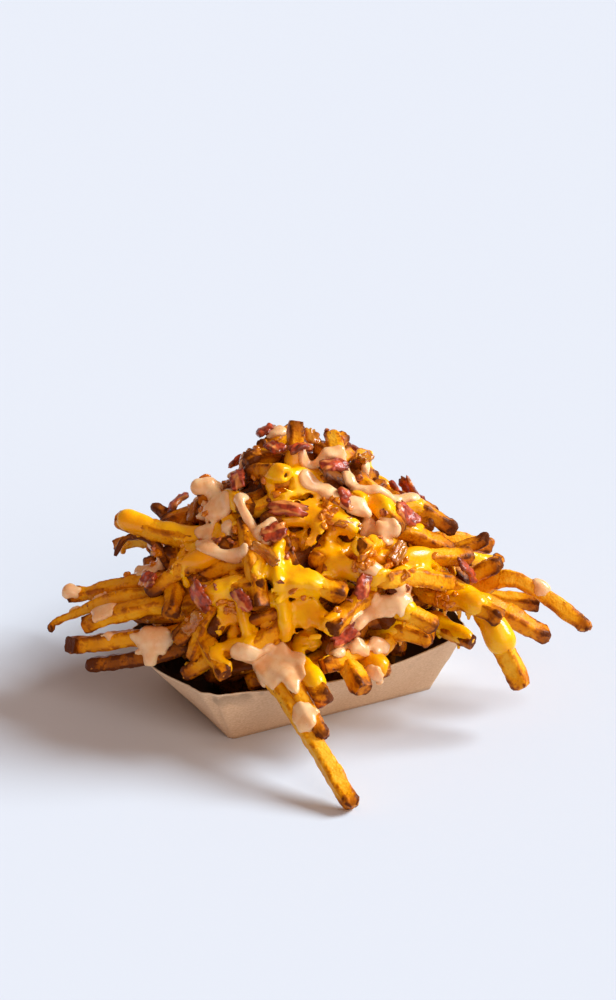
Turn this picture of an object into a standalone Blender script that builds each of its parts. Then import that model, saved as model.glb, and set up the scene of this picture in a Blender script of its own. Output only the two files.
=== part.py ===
"""Loaded fries: a heap of long fries in an open paper boat, under cheese sauce, pink sauce, bacon and onion.

Units are metres and +Z is up. The origin is the middle of the boat's flat underside, and +X runs along its long
side. The heap's show side looks out over the near left corner of the boat, SHOW_TURN round from its long side, so
the fries that are laid by hand are given facing that side: across to the right, out towards the eater, and up.
What lies on the heap is given as (bearing, rise), two angles in degrees from the heap's heart.
"""

import math
import random

import bmesh
import bpy
from mathutils import Matrix, Vector, noise
from mathutils.bvhtree import BVHTree

MM = 0.001
SEED = 23

# The paper boat
BASE_LENGTH = 100 * MM
BASE_WIDTH = 64 * MM
RIM_LENGTH = 134 * MM
RIM_WIDTH = 84 * MM
BOAT_HEIGHT = 27 * MM
PAPER = 0.8 * MM
BASE_CORNER = 3 * MM
RIM_CORNER = 15 * MM
SIDE_BULGE = 6 * MM
SIDE_DIP = 2.5 * MM
CORNER_STEPS = 3
SIDE_STEPS = 5
WALL_STEPS = 3

# The heap's core: half its length and half its width at each height in mm, and how boxy its outline is
CORE_PROFILE = (
    (1.3, 44, 27, 5.0),
    (14, 47, 30, 4.5),
    (27, 53, 35, 3.5),
    (40, 60, 46, 2.4),
    (55, 61, 50, 2.1),
    (75, 49, 43, 2.0),
    (95, 31, 29, 2.0),
    (109, 16, 16, 2.0),
    (117, 5, 5, 2.0),
)
CORE_SIDES = 22
CORE_RINGS = 12
CORE_ROUGHNESS = 3 * MM
CORE_GRAIN = 45
HEART = Vector((0, 0, 40 * MM))
REACH = 200 * MM
SHOW_TURN = math.radians(-28)
UP = Vector((0, 0, 1))

GAP = 0.4 * MM

# Every fry: a square bar whose middle bends, whose ends taper and whose thickness wanders
FRY_RINGS = 6
SHORT_FRY = 36 * MM
SHORT_FRY_RINGS = 4
FRY_SIDE = 7 * MM
FRY_END = 0.76
FRY_EVENNESS = 0.12
FRY_ROLL = 0.5
BEND_PLACE = 0.35
WANDER_GRAIN = 0.7
ROOT_DEPTH = 7 * MM
ROOT_STEP = 2 * MM
ROOT_REACH = 34 * MM
FAT_FRY = 0.7 * MM

# Fries laid by hand: name, root and tip as across, out and up in mm, how far the middle bows up, and thickness
LAID_FRIES = (
    ("prop", (-19, 58, 36), (22, 113.5, 3.1), 3, 7.2),
    ("beside_prop", (-15, 60, 38), (10, 91, 22), 3, 6.4),
    ("left_high", (-40, 18, 78), (-79, 5, 82), -1, 7.6),
    ("left_curl", (-54, 16, 62), (-78, 2, 72), 9, 3.6),
    ("left_dark", (-53, -10, 71), (-65, -16, 80), 1, 4.6),
    ("left_sauced", (-39, 34, 76), (-63, 28, 58), 2, 7.0),
    ("left_long", (-48, 25, 60), (-101, 0, 43), 3, 7.2),
    ("left_longest", (-46, 30, 55), (-112, 5, 32), 7, 7.0),
    ("left_under", (-50, 35, 54), (-92, 22, 39), 3, 7.0),
    ("left_pale", (-57, 36, 44), (-98, 18, 29), 1, 7.6),
    ("left_brown", (-59, 38, 36), (-92, 24, 22), 0, 6.4),
    ("front_left", (-18, 58, 48), (-48, 48, 29), 3, 7.2),
    ("front_rough", (-37, 46, 58), (-45, 52, 38), 0, 7.4),
    ("front_end_on", (-19, 30, 24), (-19, 54, 28.5), 0, 7.6),
    ("front_coated", (0, 58, 38), (11, 80, 33), 2, 8.4),
    ("front_yellow", (18, 50, 36), (27, 68, 32), 2, 7.6),
    ("front_middle", (27, 44, 36), (36, 58, 34), 1, 8.2),
    ("front_cross", (36, 42, 40), (10, 60, 39), 1, 7.4),
    ("right_front", (36, 40, 58), (58, 46, 50), 1, 7.0),
    ("right_low", (36, 36, 44), (56, 42, 42), 1, 7.0),
    ("right_in_boat", (40, 14, 27), (44, 22, 28.5), 0, 7.6),
    ("right_rim", (54, 10, 36), (74, 30, 35), 1, 6.6),
    ("right_longest", (74, 0, 46), (128, 8, 31), 12, 7.0),
    ("right_behind", (70, -12, 38), (106, -6, 36), 1, 6.2),
    ("right_long", (70, 14, 48), (107, 18, 32), 3, 7.4),
    ("right_coated", (73, 28, 54), (95, 46, 21), 5, 8.0),
    ("right_rough", (64, 28, 54), (85, 42, 52), 2, 7.2),
    ("right_pointed", (61, 4, 52), (87, 8, 63), -2, 7.0),
    ("right_curl", (64, 0, 59), (81, -4, 68), 3, 6.2),
    ("right_high", (41, 4, 88), (67, 6, 77), 3, 7.0),
    ("right_upper", (43, 17, 82), (66, 12, 69), 1, 7.2),
    ("right_middle", (40, 32, 74), (73, 14, 68), 1, 7.2),
    ("right_lower", (34, 44, 72), (65, 28, 63), 1, 7.2),
    ("top", (-3, 8, 104), (-1, 0, 125), 0, 6.6),
    ("top_small", (-15, 2, 100), (-16, -6, 114), 1, 5.2),
    ("upper_left", (-15, 24, 96), (-29, 22, 84), 2, 6.6),
    ("middle_left", (-18, 36, 77), (-41, 34, 68), 2, 6.8),
    ("middle_lower", (-36, 46, 66), (-14, 52, 73), 1, 7.2),
    ("middle", (-5, 50, 73), (20, 54, 69), 2, 7.6),
    ("back_long", (-10, -44, 60), (-34, -92, 42), 5, 7.2),
    ("back_right", (34, -40, 62), (62, -82, 48), 4, 7.4),
    ("back_low", (16, -52, 40), (14, -86, 25), 2, 7.0),
    ("back_second", (0, -46, 52), (-14, -82, 44), -1, 6.6),
    ("back_drooping", (-32, -44, 48), (-50, -76, 24), 3, 7.2),
    ("back_under", (30, -48, 42), (58, -72, 30), 2, 6.8),
    ("back_across", (-34, -36, 72), (8, -54, 66), 2, 7.2),
    ("back_across_low", (6, -58, 44), (48, -50, 50), 1, 7.2),
    ("back_end", (56, -14, 62), (86, -28, 54), 3, 7.0),
    ("back_upper", (20, -26, 92), (40, -34, 78), 1, 7.0),
    ("back_left", (-44, -30, 52), (-84, -54, 44), 4, 7.2),
    ("back_high", (6, -30, 88), (20, -54, 96), 2, 6.8),
    ("back_corner", (54, -30, 44), (92, -50, 34), 5, 7.0),
)

# Fries by rule: how many go round the heap on each course, the course's rise in degrees and their length in mm
COURSES = (
    (11, -5, 46),
    (12, 10, 54),
    (11, 25, 52),
    (10, 41, 44),
    (6, 57, 32),
    (3, 76, 24),
)
COURSE_LIFT = 2.4 * MM
COURSE_JITTER = 8
COURSE_SLOPES = (-10, 70)
COURSE_TILT = (0.1, 0.4)
COURSE_BOW = (-1.5 * MM, 3 * MM)
COURSE_LENGTH = (0.75, 1.15)
COURSE_THICKNESS = (0.86, 1.14)
COURSE_TRIES = 12
COURSE_SPACE = 4.6 * MM
MOST_CROWDING = 4
SPOTS = 8
SPOTS_ALONG_FRY = 9
SPOTS_ALONG_PATH = 20
SAUCE_ROOM = 2.5 * MM
FRY_ROOM = 5.6 * MM
SHORTEN = 0.82
MOST_SHORTENINGS = 4

# Cheese sauce: name, (bearing, rise) of each point along its run, and half its width in mm there
CHEESE_SAUCE = (
    ("cheese_sauce_crest", ((-105, 82), (-114, 69), (-102, 58), (-91, 46), (-84, 37)), (8, 13, 15, 13, 8)),
    ("cheese_sauce_pool", ((-131, 44), (-124, 33), (-116, 22), (-113, 10), (-117, 1)), (7, 11, 12, 11, 7)),
    ("cheese_sauce_front_left", ((-152, 28), (-147, 18), (-142, 8)), (6, 8, 6)),
    ("cheese_sauce_right", ((-60, 60), (-42, 50), (-24, 41)), (6, 9, 7)),
    ("cheese_sauce_low_right", ((-58, 24), (-46, 16), (-35, 8), (-30, 0)), (7, 9, 8, 6)),
    ("cheese_sauce_left", ((-178, 54), (-173, 43), (178, 31)), (8, 10, 7)),
    ("cheese_sauce_back", ((80, 66), (74, 48), (64, 32), (58, 14), (64, 2)), (9, 15, 13, 10, 7)),
    ("cheese_sauce_far_end", ((22, 44), (8, 28), (14, 10)), (9, 12, 8)),
    ("cheese_sauce_back_left", ((130, 57), (118, 41), (127, 24), (120, 8)), (8, 13, 11, 8)),
)
SAUCE_CELL = 6.5 * MM
SAUCE_COVER = 1.3 * MM
SAUCE_LEAST = 4 * MM
SAUCE_MOST = 11 * MM
SAUCE_EDGE = 0.24
SAUCE_GRAIN = 90
SAUCE_ROUND = 0.7
SAUCE_RIM = 0.62
DRAPE_REACH = 0.07
UNDER_SAUCE = 0.3 * MM

# The sheets that trim the sauce and clear the heap away under it: where they start and end, and how much wider
COLUMN_FOOT = -0.35 * MM
COLUMN_TOP = 26 * MM
TRIM_FAT = 0.13 * MM
COLUMN_FAT = 0.9 * MM

# Welding away the slivers that joins leave: how far a surface may move in all, and turn at once, as a cosine
MOST_WELD_MOVE = 0.3 * MM
LEAST_WELD_TURN = 0.4
SPECK_AREA = 1e-4 * MM * MM
WELD_ROUNDS = 20
PINCH = 0.02 * MM
SAME_PLACE = 0.001 * MM

# Pink sauce strands on the heap: (bearing, rise) of each point, and half the width in mm
PINK_STRANDS = (
    (((-112, 84), (-73, 80), (-48, 70), (-57, 64)), 3.4),
    (((-114, 75), (-88, 70), (-75, 61), (-66, 50), (-65, 41)), 4.2),
    (((-56, 62), (-45, 54), (-31, 45)), 3.2),
    (((160, 58), (175, 55), (-170, 56)), 4.6),
    (((-161, 60), (-153, 55), (-142, 51), (-134, 56)), 3.2),
    (((178, 45), (-171, 40), (-157, 39), (-145, 43)), 4.2),
    (((-88, 37), (-79, 30), (-70, 20), (-84, 17), (-96, 14)), 4.4),
    (((-142, 6), (-128, 0), (-118, -6)), 5.0),
    (((100, 78), (84, 66), (96, 52), (78, 40)), 4.0),
    (((40, 72), (30, 58), (44, 46), (34, 32)), 3.6),
    (((132, 68), (144, 54), (134, 40)), 3.8),
    (((48, 22), (66, 18), (84, 22), (92, 12)), 4.2),
    (((150, 30), (164, 22), (156, 10)), 4.0),
)
STRAND_RINGS = 6
STRAND_SIDES = 5
STRAND_HALF_DEPTH = 2.4 * MM
STRAND_LIFT = 0.6 * MM
STRAND_END = 0.55
STRAND_EVENNESS = 0.5

# Blobs of pink sauce on the laid fries: the fry's name, how far along it and the blob's radius in mm
FRY_BLOBS = (
    ("prop", 0.08, 7.0),
    ("prop", 0.3, 5.4),
    ("left_long", 0.93, 5.2),
    ("left_under", 0.9, 5.4),
    ("left_pale", 0.24, 7.6),
    ("right_longest", 0.5, 4.8),
    ("back_long", 0.7, 5.4),
)
BLOB_SIDES = 7
BLOB_RINGS = 4
BLOB_FLATNESS = 0.72
BLOB_RISE = 0.25
BLOB_EVENNESS = 0.25
BLOB_GRAIN = 160

# Chopped bacon: bearing, rise, length and width in mm
BACON = (
    (-180, 82, 11, 6),
    (-75, 75, 12, 7),
    (-116, 80, 10, 6),
    (-127, 63, 16, 6.5),
    (-133, 55, 10, 7),
    (-79, 60, 11, 6),
    (-51, 44, 12, 6.5),
    (-45, 18, 18, 6.5),
    (-157, 26, 13, 8),
    (-141, 27, 10, 6),
    (175, 22, 12, 7),
    (-101, 10, 12, 6.5),
    (-174, 68, 12, 6),
    (-92, 26, 10, 6),
    (100, 70, 12, 7),
    (58, 54, 14, 6.5),
    (88, 32, 12, 7),
    (35, 62, 11, 6),
    (22, 20, 14, 7),
    (141, 36, 12, 7),
    (108, 54, 13, 6),
    (44, 38, 12, 7),
    (-8, 44, 12, 6.5),
    (72, 8, 12, 7),
)
BACON_THICKNESS = 1.9 * MM
BACON_BOW = 1.6 * MM

# Soft onion: bearing, rise, length and width in mm
ONION = (
    (0, 82, 12, 6),
    (-84, 52, 13, 6),
    (-71, 36, 12, 6),
    (-14, 62, 12, 5.5),
    (-135, 46, 14, 5),
    (-154, 12, 12, 6),
    (90, 48, 13, 6),
    (121, 66, 12, 6),
    (48, 8, 12, 6),
    (156, 46, 12, 5.5),
)
ONION_THICKNESS = 1.7 * MM
ONION_BOW = 3 * MM
CHIP_RINGS = 4
CHIP_END = 0.7
CHIP_EVENNESS = 0.2
CHIP_START = 15 * MM
CHIP_STEP = 0.25 * MM
CHIP_CONE = 0.9
CHIP_TRIES = 7
CHIP_CLEARANCE = 0.35 * MM
CHIP_JITTER = 4
CHIP_LEAN = (0.4, 0.3)
CHIP_BOW = (-1.2, 0.8)

# Colour, roughness and metallic value of each material
FINISHES = {
    "kraft_paper": ((0.55, 0.33, 0.17), 0.8),
    "fried_potato": ((0.70, 0.32, 0.04), 0.5),
    "cheese_sauce": ((0.95, 0.52, 0.02), 0.25),
    "bacon": ((0.42, 0.06, 0.03), 0.4),
    "soft_onion": ((0.62, 0.22, 0.03), 0.3),
}


def clear_scene():
    for obj in list(bpy.data.objects):
        bpy.data.objects.remove(obj)


def new_collection(name, cutters=False):
    collection = bpy.data.collections.new(name)
    bpy.context.scene.collection.children.link(collection)
    collection.hide_render = cutters
    return collection


def new_material(name):
    colour, roughness = FINISHES[name]
    material = bpy.data.materials.new(name)
    material.use_nodes = True
    shader = material.node_tree.nodes["Principled BSDF"]
    shader.inputs["Base Color"].default_value = (*colour, 1)
    shader.inputs["Roughness"].default_value = roughness
    shader.inputs["Metallic"].default_value = 0
    return material


def new_object(name, bm, collection):
    """An object made of triangles, so that a join finds each of its faces flat."""
    bmesh.ops.triangulate(bm, faces=bm.faces[:])
    mesh = bpy.data.meshes.new(name)
    bm.to_mesh(mesh)
    bm.free()
    obj = bpy.data.objects.new(name, mesh)
    collection.objects.link(obj)
    return obj


def between(low, high, share):
    return low + (high - low) * share


def from_show(place):
    """The point at (across, out, up) in mm, as the eater sees the heap, in the part's own frame."""
    across, out, up = place
    turned = Matrix.Rotation(SHOW_TURN, 3, "Z") @ Vector((across, -out, up))
    return turned * MM


def heading(bearing, rise):
    turn, lift = math.radians(bearing), math.radians(rise)
    return Vector((math.cos(lift) * math.cos(turn), math.cos(lift) * math.sin(turn), math.sin(lift)))


def surface(tree, towards):
    """The point of a surface that lies in a direction from the heap's heart."""
    return tree.ray_cast(HEART + towards * REACH, -towards)[0]


def smooth_run(values, count):
    """count values evenly along a smooth curve through the given ones, numbers or vectors."""
    run = []
    for step in range(count):
        place = step / (count - 1) * (len(values) - 1)
        index = min(int(place), len(values) - 2)
        share = place - index
        before = values[max(index - 1, 0)]
        start, end = values[index], values[index + 1]
        after = values[min(index + 2, len(values) - 1)]
        run.append(catmull(before, start, end, after, share))
    return run


def catmull(before, start, end, after, share):
    """A point of the smooth curve from start to end that also heeds the points on either side."""
    first = end - before
    second = before * 2 - start * 5 + end * 4 - after
    third = start * 3 - before - end * 3 + after
    return (start * 2 + first * share + second * share**2 + third * share**3) * 0.5


def boat_outline(share):
    """The boat's outline, anticlockwise, at a share of the way up its wall."""
    half_x = between(BASE_LENGTH, RIM_LENGTH, share) / 2
    half_y = between(BASE_WIDTH, RIM_WIDTH, share) / 2
    corner = between(BASE_CORNER, RIM_CORNER, share)
    points = []
    for quarter in range(4):
        turned = Matrix.Rotation(math.radians(90 * quarter), 3, "Z")
        long_ahead = quarter % 2 == 0
        reach, breadth = (half_x, half_y) if long_ahead else (half_y, half_x)
        for step in range(CORNER_STEPS + 1):
            angle = math.radians(90) * step / CORNER_STEPS
            place = Vector((reach - corner + corner * math.cos(angle), breadth - corner + corner * math.sin(angle), 0))
            points.append(turned @ place + Vector((0, 0, BOAT_HEIGHT * share)))
        for step in range(1, SIDE_STEPS):
            along = step / SIDE_STEPS
            swell = math.sin(math.pi * along) * share
            place = Vector((between(reach - corner, corner - reach, along), breadth + SIDE_BULGE * swell, 0))
            dip = SIDE_DIP * swell if long_ahead else 0
            points.append(turned @ place + Vector((0, 0, BOAT_HEIGHT * share - dip)))
    return points


def make_boat(collection):
    """A folded paper boat: a flat base, and a wall that leans out to a longer rim with rounder corners."""
    bm = bmesh.new()
    rings = []
    for level in range(WALL_STEPS + 1):
        rings.append([bm.verts.new(point) for point in boat_outline(level / WALL_STEPS)])
    bm.faces.new(reversed(rings[0]))
    for lower, upper in zip(rings, rings[1:]):
        for index in range(len(lower)):
            after = (index + 1) % len(lower)
            bm.faces.new((lower[index], lower[after], upper[after], upper[index]))
    mesh = bpy.data.meshes.new("paper_boat")
    bm.to_mesh(mesh)
    bm.free()
    boat = bpy.data.objects.new("paper_boat", mesh)
    collection.objects.link(boat)
    boat.data.materials.append(new_material("kraft_paper"))
    wall = boat.modifiers.new("paper", "SOLIDIFY")
    wall.thickness = PAPER
    wall.offset = -1
    wall.use_even_offset = True
    return boat


def clear_of_boat(points, half):
    """Whether a piece along the points, this far across each way, stays inside the boat's wall or above its rim."""
    margin = half + PAPER + GAP
    for point in points:
        if point.z - half > BOAT_HEIGHT + GAP:
            continue
        share = max(0, min(1, (point.z - half) / BOAT_HEIGHT))
        room_x = between(BASE_LENGTH, RIM_LENGTH, share) / 2 - margin
        room_y = between(BASE_WIDTH, RIM_WIDTH, share) / 2 - margin
        corner = between(BASE_CORNER, RIM_CORNER, share)
        past_x, past_y = abs(point.x) - room_x + corner, abs(point.y) - room_y + corner
        if max(past_x, past_y) > corner or (min(past_x, past_y) > 0 and math.hypot(past_x, past_y) > corner):
            return False
        if point.z - half < PAPER + GAP:
            return False
    return True


def core_radius(height, turn):
    """How far the core reaches from the middle line at a height and a turn about it."""
    for lower, upper in zip(CORE_PROFILE, CORE_PROFILE[1:]):
        if height <= upper[0] * MM:
            break
    share = max(0, min(1, (height / MM - lower[0]) / (upper[0] - lower[0])))
    half_x, half_y, boxiness = (between(low, high, share) for low, high in zip(lower[1:], upper[1:]))
    ratio = abs(math.cos(turn) / half_x) ** boxiness + abs(math.sin(turn) / half_y) ** boxiness
    return MM / ratio ** (1 / boxiness)


def make_core(collection):
    """The solid inside of the heap: flat below, filling the boat, and lumpy above it."""
    bm = bmesh.new()
    bmesh.ops.create_uvsphere(bm, u_segments=CORE_SIDES, v_segments=CORE_RINGS, radius=1)
    low, high = CORE_PROFILE[0][0] * MM, CORE_PROFILE[-1][0] * MM
    for vert in bm.verts:
        ring = round((1 - math.acos(max(-1, min(1, vert.co.z))) / math.pi) * CORE_RINGS)
        turn = math.atan2(vert.co.y, vert.co.x)
        height = between(low, high, max(0, min(1, (ring - 1) / (CORE_RINGS - 2))))
        reach = core_radius(height, turn) if 0 < ring < CORE_RINGS else 0
        place = Vector((reach * math.cos(turn), reach * math.sin(turn), height))
        if reach and height > BOAT_HEIGHT:
            place += place.normalized() * noise.noise(place * CORE_GRAIN) * CORE_ROUGHNESS
        vert.co = place
    return new_object("fries", bm, collection)


def tree_of(objects):
    """A search tree over the surfaces of some objects, which all sit untransformed."""
    verts, faces = [], []
    for obj in objects:
        first = len(verts)
        verts += [vert.co.copy() for vert in obj.data.vertices]
        faces += [[first + index for index in face.vertices] for face in obj.data.polygons]
    return BVHTree.FromPolygons(verts, faces)


def make_strip(
    name, collection, points, half_width, half_depth, sides, ends, roll=0.0, fat=0.0, wander=0.0, phase=0.0, facing=UP
):
    """A closed bar along the points, with narrower ends, whose depth faces one way but for a roll in radians.

    fat adds that much all round, and wander is how much its thickness varies, by a pattern that phase picks.
    """
    line = (points[-1] - points[0]).normalized()
    facing = facing if abs(line.dot(facing)) < 0.95 else Vector((0, 1, 0))
    bm = bmesh.new()
    bmesh.ops.create_cone(bm, cap_ends=True, segments=sides, radius1=1, radius2=1, depth=1)
    uprights = [edge for edge in bm.edges if abs(edge.verts[0].co.z - edge.verts[1].co.z) > 0.5]
    bmesh.ops.subdivide_edges(bm, edges=uprights, cuts=len(points) - 2)
    last = len(points) - 1
    turned = Matrix.Rotation(math.pi / sides, 2)
    squared = 1 / math.cos(math.pi / sides)
    for vert in bm.verts:
        index = round((vert.co.z + 0.5) * last)
        tangent = (points[min(index + 1, last)] - points[max(index - 1, 0)]).normalized()
        side = facing.cross(tangent).normalized()
        over = tangent.cross(side)
        scale = 1 + wander * noise.noise(Vector((phase, index * WANDER_GRAIN, 0)))
        scale *= ends if index in (0, last) else 1
        flat = turned @ vert.co.xy * squared
        flat = Vector((flat.x * (half_width * scale + fat), flat.y * (half_depth * scale + fat)))
        flat = Matrix.Rotation(roll, 2) @ flat
        vert.co = points[index] + side * flat.x + over * flat.y
        if fat and index in (0, last):
            vert.co += tangent * (fat if index else -fat)
    return new_object(name, bm, collection)


def bowed(start, end, bow, count):
    """count points from start to end, on an arc whose middle stands bow above the straight line."""
    shares = [step / (count - 1) for step in range(count)]
    return [start.lerp(end, share) + UP * bow * 4 * share * (1 - share) for share in shares]


def inside(tree, point):
    """Whether a point lies under a surface, as seen from the heap's heart."""
    towards = point - HEART
    hit = surface(tree, towards.normalized())
    return hit is not None and (hit - HEART).length > towards.length + ROOT_DEPTH


def laid_path(core_tree, root, tip, bow):
    """A laid fry's points, from where it is held in the core out to its tip."""
    start, end = from_show(root), from_show(tip)
    back = (start - end).normalized()
    inwards = (HEART + Vector((0, 0, start.z / 2)) - start).normalized()
    pull = 0.0
    while not inside(core_tree, start) and pull < ROOT_REACH:
        pull += ROOT_STEP
        start += (back * (1 - pull / ROOT_REACH) + inwards * pull / ROOT_REACH).normalized() * ROOT_STEP
    middle = from_show(root).lerp(end, BEND_PLACE) + UP * bow * MM
    rings = FRY_RINGS if (end - start).length > SHORT_FRY else SHORT_FRY_RINGS
    return smooth_run([start, from_show(root), middle, end], rings)


def course_place(core_tree, rng, bearing, rise, length):
    """One way to lay a fry near a place on the heap: its points, shortened till it clears the boat, or None."""
    out = heading(bearing, rise)
    level = out.cross(UP).normalized() * rng.choice((-1, 1))
    down = level.cross(out).normalized()
    down = down if down.z < 0 else -down
    slope = math.radians(rng.uniform(*COURSE_SLOPES))
    line = (level * math.cos(slope) + down * math.sin(slope) + out * rng.uniform(*COURSE_TILT)).normalized()
    middle = surface(core_tree, out) + out * COURSE_LIFT
    bow = rng.uniform(*COURSE_BOW)
    reach = length * MM * rng.uniform(*COURSE_LENGTH) / 2
    for _ in range(MOST_SHORTENINGS):
        points = bowed(middle - line * reach, middle + line * reach, bow, SHORT_FRY_RINGS)
        if clear_of_boat(points, FRY_ROOM):
            return points
        reach *= SHORTEN
    return None


def sauce_spots(core_tree):
    """Points on the core along the middle of each run of cheese sauce, with the room that it takes there."""
    spots = []
    for _, run, widths in CHEESE_SAUCE:
        spine = smooth_run([surface(core_tree, heading(*place)) for place in run], SPOTS)
        halves = smooth_run([Vector((width, 0)) for width in widths], SPOTS)
        spots += [(place, half.x * MM + SAUCE_ROOM) for place, half in zip(spine, halves)]
    return spots


def crowding(points, others, spots):
    """How many places along a fry lie too near to the fries already laid, or are held under the sauce."""
    along = smooth_run(points, SPOTS_ALONG_FRY)
    near = sum(any((point - other).length < COURSE_SPACE for other in others) for point in along)
    return near + sum(any((point - spot).length < room for spot, room in spots) for point in along)


def make_course_fries(collection, core_tree, laid_paths):
    """Fries by rule, course by course round the heap, each laid the least crowded of several ways."""
    rng = random.Random(SEED)
    others = [point for path in laid_paths for point in smooth_run(path, SPOTS_ALONG_PATH)]
    spots = sauce_spots(core_tree)
    number = 0
    for count, rise, length in COURSES:
        offset = rng.random()
        for index in range(count):
            bearing = 360 * (index + offset) / count
            ways = []
            for _ in range(COURSE_TRIES):
                turn, lift = (rng.uniform(-COURSE_JITTER, COURSE_JITTER) for _ in range(2))
                points = course_place(core_tree, rng, bearing + turn, rise + lift / 2, length)
                if points:
                    ways.append((crowding(points, others, spots), len(ways), points))
            half = FRY_SIDE / 2 * rng.uniform(*COURSE_THICKNESS)
            roll = rng.uniform(0, math.pi / 2)
            if not ways or min(ways)[0] > MOST_CROWDING:
                continue
            points = min(ways)[2]
            others += smooth_run(points, SPOTS_ALONG_PATH)
            name = f"course_fry_{number:02d}"
            make_strip(name, collection, points, half, half, 4, FRY_END, roll, 0, FRY_EVENNESS, number)
            number += 1


def make_laid_fries(collection, fat_collection, core_tree):
    """Makes the laid fries, and a fatter copy of each for cutting the sauce. It gives back their paths by name."""
    rng = random.Random(SEED + 1)
    paths = {}
    for number, (name, root, tip, bow, thickness) in enumerate(LAID_FRIES):
        points = laid_path(core_tree, root, tip, bow)
        paths[name] = points
        half = thickness * MM / 2
        roll = rng.uniform(-FRY_ROLL, FRY_ROLL)
        for owner, fat in ((collection, 0), (fat_collection, FAT_FRY)):
            make_strip(f"{name}_fry", owner, points, half, half, 4, FRY_END, roll, fat, FRY_EVENNESS, -number)
    return paths


def make_strands(collection, heap_tree):
    """The pink sauce's strands, draped over the fries."""
    for number, (run, half_width) in enumerate(PINK_STRANDS):
        points = []
        for towards in smooth_run([heading(*place) for place in run], STRAND_RINGS):
            towards.normalize()
            points.append(surface(heap_tree, towards) + towards * STRAND_LIFT)
        heights = [(point - HEART).length for point in points]
        for index in range(1, STRAND_RINGS - 1):
            level = max(heights[index], (heights[index - 1] + heights[index + 1]) / 2)
            points[index] = HEART + (points[index] - HEART).normalized() * level
        make_strip(
            f"pink_strand_{number:02d}", collection, points, half_width * MM, STRAND_HALF_DEPTH,
            STRAND_SIDES, STRAND_END, wander=STRAND_EVENNESS, phase=number * math.pi,
        )


def make_blobs(collection, paths):
    for number, (fry, share, radius) in enumerate(FRY_BLOBS):
        place = smooth_run(paths[fry], 101)[round(share * 100)] + UP * radius * MM * BLOB_RISE
        bm = bmesh.new()
        bmesh.ops.create_uvsphere(bm, u_segments=BLOB_SIDES, v_segments=BLOB_RINGS, radius=radius * MM)
        for vert in bm.verts:
            vert.co *= 1 + BLOB_EVENNESS * noise.noise(vert.co * BLOB_GRAIN + Vector((number, 0, 0)))
            vert.co.z *= BLOB_FLATNESS
            vert.co += place
        new_object(f"pink_blob_{number:02d}", bm, collection)


def sauce_sheet(name, collection, run, widths, core_tree, foot, top, fat):
    """A sheet over the core along a run, from foot above it up to top, a rule or a height, grown by fat all round."""
    directions = [heading(*place) for place in run]
    spine = [surface(core_tree, towards) for towards in directions]
    length = sum((after - before).length for before, after in zip(spine, spine[1:]))
    cells_along = max(3, round(length / SAUCE_CELL))
    cells_across = max(3, round(max(widths) * 2 * MM / SAUCE_CELL))
    spine = smooth_run(spine, cells_along + 1)
    halves = smooth_run([Vector((width * MM, 0, 0)) for width in widths], cells_along + 1)
    bm = bmesh.new()
    bmesh.ops.create_grid(bm, x_segments=cells_along, y_segments=cells_across, size=1)
    raised = bmesh.ops.extrude_face_region(bm, geom=bm.faces[:])["geom"]
    upper = {part for part in raised if isinstance(part, bmesh.types.BMVert)}
    for vert in bm.verts:
        index = round((vert.co.x + 1) / 2 * cells_along)
        tangent = (spine[min(index + 1, cells_along)] - spine[max(index - 1, 0)]).normalized()
        outwards = (spine[index] - HEART).normalized()
        side = tangent.cross(outwards).normalized()
        wander = 1 + SAUCE_EDGE * noise.noise(spine[index] * SAUCE_GRAIN + Vector((vert.co.y, 0, 0)))
        half = halves[index].x * wander * (SAUCE_ROUND if index in (0, cells_along) else 1) + fat
        ahead = fat if index == cells_along else -fat if index == 0 else 0
        towards = (spine[index] + side * half * vert.co.y + tangent * ahead - HEART).normalized()
        base = surface(core_tree, towards)
        thinness = SAUCE_RIM if max(abs(vert.co.y), abs(vert.co.x)) > 0.999 else 1
        vert.co = base + towards * (top(towards, base) * thinness if vert in upper else foot)
    bm.normal_update()
    bmesh.ops.recalc_face_normals(bm, faces=bm.faces)
    return new_object(name, bm, collection)


def sauce_height(heap_tree):
    """A rule for the sauce's top: it drapes over the fries below it."""
    def height(towards, base):
        lean = towards.orthogonal().normalized() * DRAPE_REACH
        over = towards.cross(lean)
        around = (Vector(), lean, -lean, over, -over)
        lifts = [surface(heap_tree, (towards + shift).normalized()) - HEART for shift in around]
        lift = sum(found.length for found in lifts) / len(lifts) - (base - HEART).length + SAUCE_COVER
        return max(SAUCE_LEAST, min(SAUCE_MOST, lift))
    return height


def column_height(_towards, _base):
    return COLUMN_TOP


def apply_modifier(obj, modifier):
    graph = bpy.context.evaluated_depsgraph_get()
    mesh = bpy.data.meshes.new_from_object(obj.evaluated_get(graph))
    obj.modifiers.remove(modifier)
    old = obj.data
    obj.data = mesh
    bpy.data.meshes.remove(old)


def join(obj, operation, collection):
    """Applies one Boolean of an object with all the objects of a collection."""
    modifier = obj.modifiers.new(operation.lower(), "BOOLEAN")
    modifier.operation = operation
    modifier.operand_type = "COLLECTION"
    modifier.collection = collection
    modifier.solver = "MANIFOLD"
    apply_modifier(obj, modifier)


def weld_move(vert, target):
    """How far the surface moves when a vertex goes onto its neighbour, or None where that would open or fold it."""
    around = {edge.other_vert(vert) for edge in vert.link_edges}
    if len(around & {edge.other_vert(target) for edge in target.link_edges}) != 2:
        return None
    move = 0
    for face in vert.link_faces:
        if target in face.verts or face.calc_area() < SPECK_AREA:
            continue
        move = max(move, abs((target.co - vert.co).dot(face.normal)))
        corners = [target.co if corner is vert else corner.co for corner in face.verts]
        normal = (corners[1] - corners[0]).cross(corners[2] - corners[0])
        if normal.length < SPECK_AREA or normal.normalized().dot(face.normal) < LEAST_WELD_TURN:
            return None
    return move


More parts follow.
